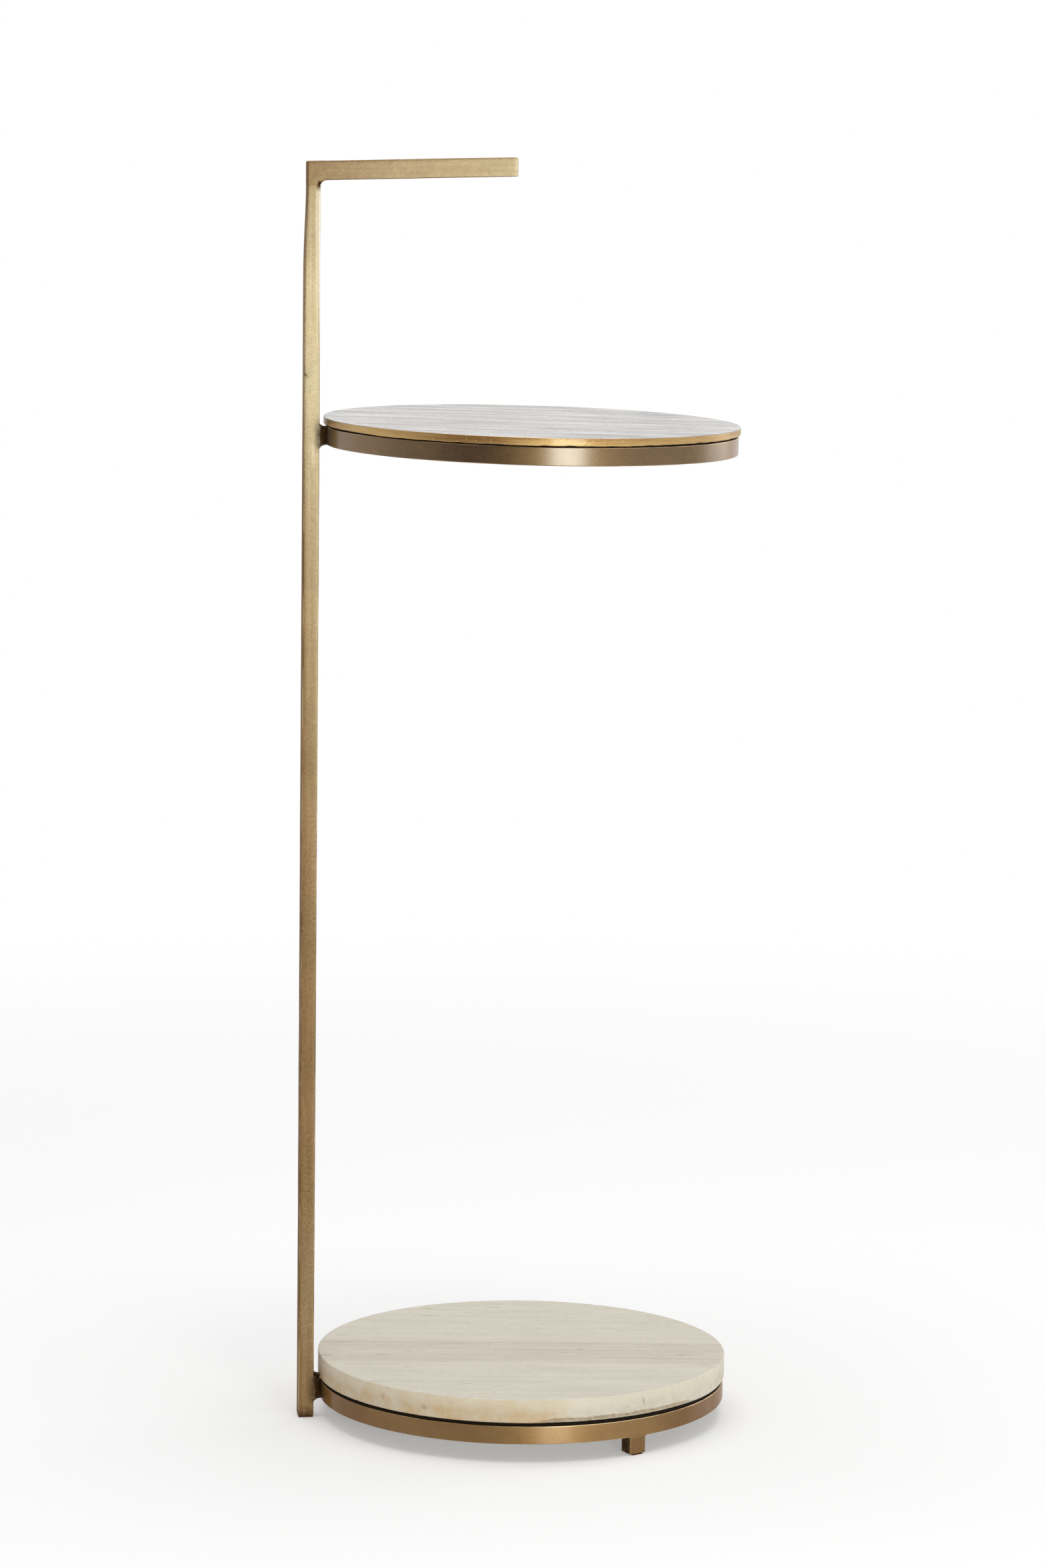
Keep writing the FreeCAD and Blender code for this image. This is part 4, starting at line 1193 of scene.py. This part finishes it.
class WINETABLE_OT_fittings(bpy.types.Operator):
    """Finish the pads, gaskets, screws and inserts that hold the discs"""
    bl_idname = "wine_table.fittings"
    bl_label = "Pads, gaskets, screws and inserts"

    def execute(self, context):
        colours = settings().colours
        rubber = small_finish("Dark rubber", colours.rubber, 0.35, 0.0, 0.8, 700.0)
        steel = small_finish("Satin steel", colours.steel, 0.25, 1.0, 0.28, 900.0)
        brass = small_finish("Turned brass", colours.insert_brass, 0.3, 1.0, 0.3, 800.0)
        finish_nodes(rubber, "upper_pads", "lower_pads", "upper_gasket", "lower_gasket")
        finish_nodes(steel, "upper_screws", "lower_screws")
        finish_nodes(brass, "marble_inserts")
        return {"FINISHED"}


class WINETABLE_OT_top_disc(bpy.types.Operator):
    """Make the thin brass top"""
    bl_idname = "wine_table.top_disc"
    bl_label = "Brass top"

    def execute(self, context):
        sizes = settings().rounds
        shape = disc_shape(TOP_PLACE, TOP_RADIUS, sizes.top_thickness, sizes.top_edge, TopEdge())
        add_piece("brass_top", shape, satin_brass(), "top_brass", "top_disc")
        return {"FINISHED"}


class WINETABLE_OT_marble_disc(bpy.types.Operator):
    """Make the marble base disc with its chipped edges"""
    bl_idname = "wine_table.marble_disc"
    bl_label = "Marble disc"

    def execute(self, context):
        arris = settings().rounds.marble_arris
        shape = disc_shape(SHELF_PLACE, MARBLE_RADIUS, MARBLE_THICKNESS, arris, MarbleEdge())
        add_piece("marble_base", shape, pale_marble(), "marble", "marble_disc")
        return {"FINISHED"}


class WINETABLE_OT_floor_pads(bpy.types.Operator):
    """Finish the felt pads under the post and the feet"""
    bl_idname = "wine_table.floor_pads"
    bl_label = "Floor pads"

    def execute(self, context):
        felt = small_finish("Brown felt", settings().colours.felt, 0.5, 0.0, 0.85, 1800.0)
        finish_nodes(felt, "post_pad", "front_foot_pad", "rear_foot_pad")
        return {"FINISHED"}


class WINETABLE_OT_stage(bpy.types.Operator):
    """Lay the floor and set the light and the camera"""
    bl_idname = "wine_table.stage"
    bl_label = "Stage"

    def execute(self, context):
        scene = context.scene
        stage = settings().stage
        scene.view_settings.view_transform = "Standard"
        self.world(scene, stage)
        self.floor(scene, stage)
        lens = bpy.data.cameras.new("Camera")
        lens.lens, lens.sensor_width, lens.clip_end = stage.camera_lens, 36.0, 100.0
        camera = bpy.data.objects.new("Camera", lens)
        camera.location, camera.rotation_euler = stage.camera_place, stage.camera_turn
        scene.collection.objects.link(camera)
        scene.camera = camera
        axis = SHELF_PLACE.translation
        self.front = math.atan2(camera.location.y - axis.y, camera.location.x - axis.x)
        self.walls(scene, stage)
        white, key_tint = (1.0, 1.0, 1.0), (1.0, 1.06, 0.98)
        self.soft_box(scene, "Key light", self.spot(19.5, 2.4, 0.43), (0.74, 0.32), stage.key_glow, key_tint)
        self.soft_box(scene, "Side light", self.spot(124, 2.8, 1.0), (1.4, 1.6), stage.side_glow, white)
        self.soft_box(scene, "Top light", self.spot(0, 0.0, 2.4), (1.9, 1.9), stage.top_glow, white)
        return {"FINISHED"}

    def spot(self, turn, reach, height):
        """A place round the table; turn is measured in degrees from the camera's side, to its right."""
        angle = self.front + math.radians(turn)
        axis = SHELF_PLACE.translation
        return Vector((axis.x + reach * math.cos(angle), axis.y + reach * math.sin(angle), height))

    def seen(self, tree):
        """1 for rays from the camera, and for those that metal or glass mirrors or lets through."""
        path = add_node(tree, "ShaderNodeLightPath").outputs
        direct = maths(tree, "MAXIMUM", path["Is Camera Ray"], path["Is Glossy Ray"])
        return maths(tree, "MAXIMUM", direct, path["Is Transmission Ray"])

    def mixed(self, tree, factor, first, second):
        return add_node(tree, "ShaderNodeMixShader", {0: factor, 1: first.outputs[0], 2: second.outputs[0]})

    def world(self, scene, stage):
        """Even light from all round, white where it is looked at."""
        world = bpy.data.worlds.new("Studio")
        world.use_nodes = True
        tree = world.node_tree
        lit = tree.nodes["Background"]
        set_inputs(tree, lit, {"Color": (1, 1, 1, 1), "Strength": stage.fill})
        white = add_node(tree, "ShaderNodeBackground", {"Color": (1, 1, 1, 1), "Strength": 1.0})
        mix = self.mixed(tree, self.seen(tree), lit, white)
        tree.links.new(mix.outputs[0], tree.nodes["World Output"].inputs["Surface"])
        scene.world = world

    def add_stage_mesh(self, scene, mesh, finish_name):
        """Adds a piece of the stage; returns it with its empty finish's tree and that tree's output."""
        finish, tree, surface = new_finish(finish_name)
        tree.nodes.remove(surface)
        mesh.materials.append(finish)
        piece = bpy.data.objects.new(mesh.name, mesh)
        scene.collection.objects.link(piece)
        return piece, tree, tree.nodes["Material Output"]

    def floor(self, scene, stage):
        """A pale floor that keeps the table's shadow and turns white further away."""
        reach = stage.floor_reach
        mesh = bpy.data.meshes.new("Floor")
        corners = [(-reach, -reach, 0), (reach, -reach, 0), (reach, reach, 0), (-reach, reach, 0)]
        mesh.from_pydata(corners, [], [(0, 1, 2, 3)])
        _, tree, out = self.add_stage_mesh(scene, mesh, "Pale floor")
        seen = self.seen(tree)
        matt = add_node(tree, "ShaderNodeBsdfDiffuse", {"Color": rgb((stage.floor_tone,) * 3)})
        lift = add_node(tree, "ShaderNodeEmission", {"Strength": times(tree, seen, stage.backdrop_lift)})
        lifted = add_node(tree, "ShaderNodeAddShader", {0: matt.outputs[0], 1: lift.outputs[0]})
        glossy = add_node(tree, "ShaderNodeLightPath").outputs["Is Glossy Ray"]
        sheen = add_node(tree, "ShaderNodeBsdfGlossy", {"Color": (1, 1, 1, 1), "Roughness": 0.15})
        near = self.mixed(tree, times(tree, glossy, stage.floor_sheen), lifted, sheen)
        away = add_node(tree, "ShaderNodeVectorMath", {0: object_place(tree)}, operation="LENGTH")
        far = step_between(tree, away.outputs["Value"], stage.backdrop_near, stage.backdrop_far)
        white = add_node(tree, "ShaderNodeEmission", {"Strength": 1.0})
        mix = self.mixed(tree, times(tree, seen, far), near, white)
        tree.links.new(mix.outputs[0], out.inputs["Surface"])

    def walls(self, scene, stage):
        """Studio walls that only the metal mirrors, dark by the camera."""
        mesh = bpy.data.meshes.new("Studio walls")
        distance, foot, head = 4.6, 0.02, 2.6
        points = [self.spot(turn, distance, height) for turn, _ in WALL_TONES for height in (foot, head)]
        starts = range(0, len(points) - 2, 2)
        mesh.from_pydata(points, [], [(k, k + 2, k + 3, k + 1) for k in starts])
        layer = mesh.attributes.new("tone", "FLOAT", "POINT")
        layer.data.foreach_set("value", [tone for _, tone in WALL_TONES for _ in range(2)])
        walls, tree, out = self.add_stage_mesh(scene, mesh, "Studio grey")
        strength = times(tree, mark_value(tree, "tone"), stage.wall_tone)
        glow = add_node(tree, "ShaderNodeEmission", {"Strength": strength})
        tree.links.new(glow.outputs[0], out.inputs["Surface"])
        walls.visible_camera = walls.visible_diffuse = False
        walls.visible_shadow = walls.visible_transmission = False

    def soft_box(self, scene, name, place, size, glow, tint):
        """A rectangular light that faces the middle of the table."""
        light = bpy.data.lights.new(name, "AREA")
        light.shape, light.size, light.size_y = "RECTANGLE", *size
        light.energy = glow * math.pi * size[0] * size[1]
        light.color = tint
        box = bpy.data.objects.new(name, light)
        box.location = place
        aim = Vector((SHELF_PLACE.translation.x, 0, 0.45)) - box.location
        box.rotation_euler = aim.to_track_quat("-Z", "Y").to_euler()
        scene.collection.objects.link(box)


class WINETABLE_PT_panel(bpy.types.Panel):
    """Sizes, colours and steps of the wine table"""
    bl_label = "Wine table"
    bl_idname = "WINETABLE_PT_panel"
    bl_space_type = "VIEW_3D"
    bl_region_type = "UI"
    bl_category = "Wine table"

    def draw(self, context):
        for label, group in (("Post and handle", settings().bar), ("Rings and discs", settings().rounds),
                             ("Finishes", settings().colours), ("Stage", settings().stage)):
            box = self.layout.box()
            box.label(text=label)
            for key in group.__annotations__:
                box.prop(group, key)
        for operator in OPERATORS:
            self.layout.operator(operator.bl_idname)


GROUPS = (WineTableBar, WineTableRounds, WineTableColours, WineTableStage, WineTableSettings)
OPERATORS = (
    WINETABLE_OT_bar, WINETABLE_OT_necks, WINETABLE_OT_rings, WINETABLE_OT_feet, WINETABLE_OT_tabs,
    WINETABLE_OT_fittings, WINETABLE_OT_top_disc, WINETABLE_OT_marble_disc, WINETABLE_OT_floor_pads,
    WINETABLE_OT_stage)


def register():
    for kind in (*GROUPS, *OPERATORS, WINETABLE_PT_panel):
        bpy.utils.register_class(kind)
    bpy.types.Scene.wine_table = bpy.props.PointerProperty(
        type=WineTableSettings, name="Wine table", description="Wine table settings")


def unregister():
    del bpy.types.Scene.wine_table
    for kind in (WINETABLE_PT_panel, *reversed(OPERATORS), *reversed(GROUPS)):
        bpy.utils.unregister_class(kind)


def main():
    register()
    steps = bpy.ops.wine_table
    for step in (steps.bar, steps.necks, steps.rings, steps.feet, steps.tabs, steps.fittings, steps.top_disc,
                 steps.marble_disc, steps.floor_pads, steps.stage):
        step()


if __name__ == "__main__":
    main()
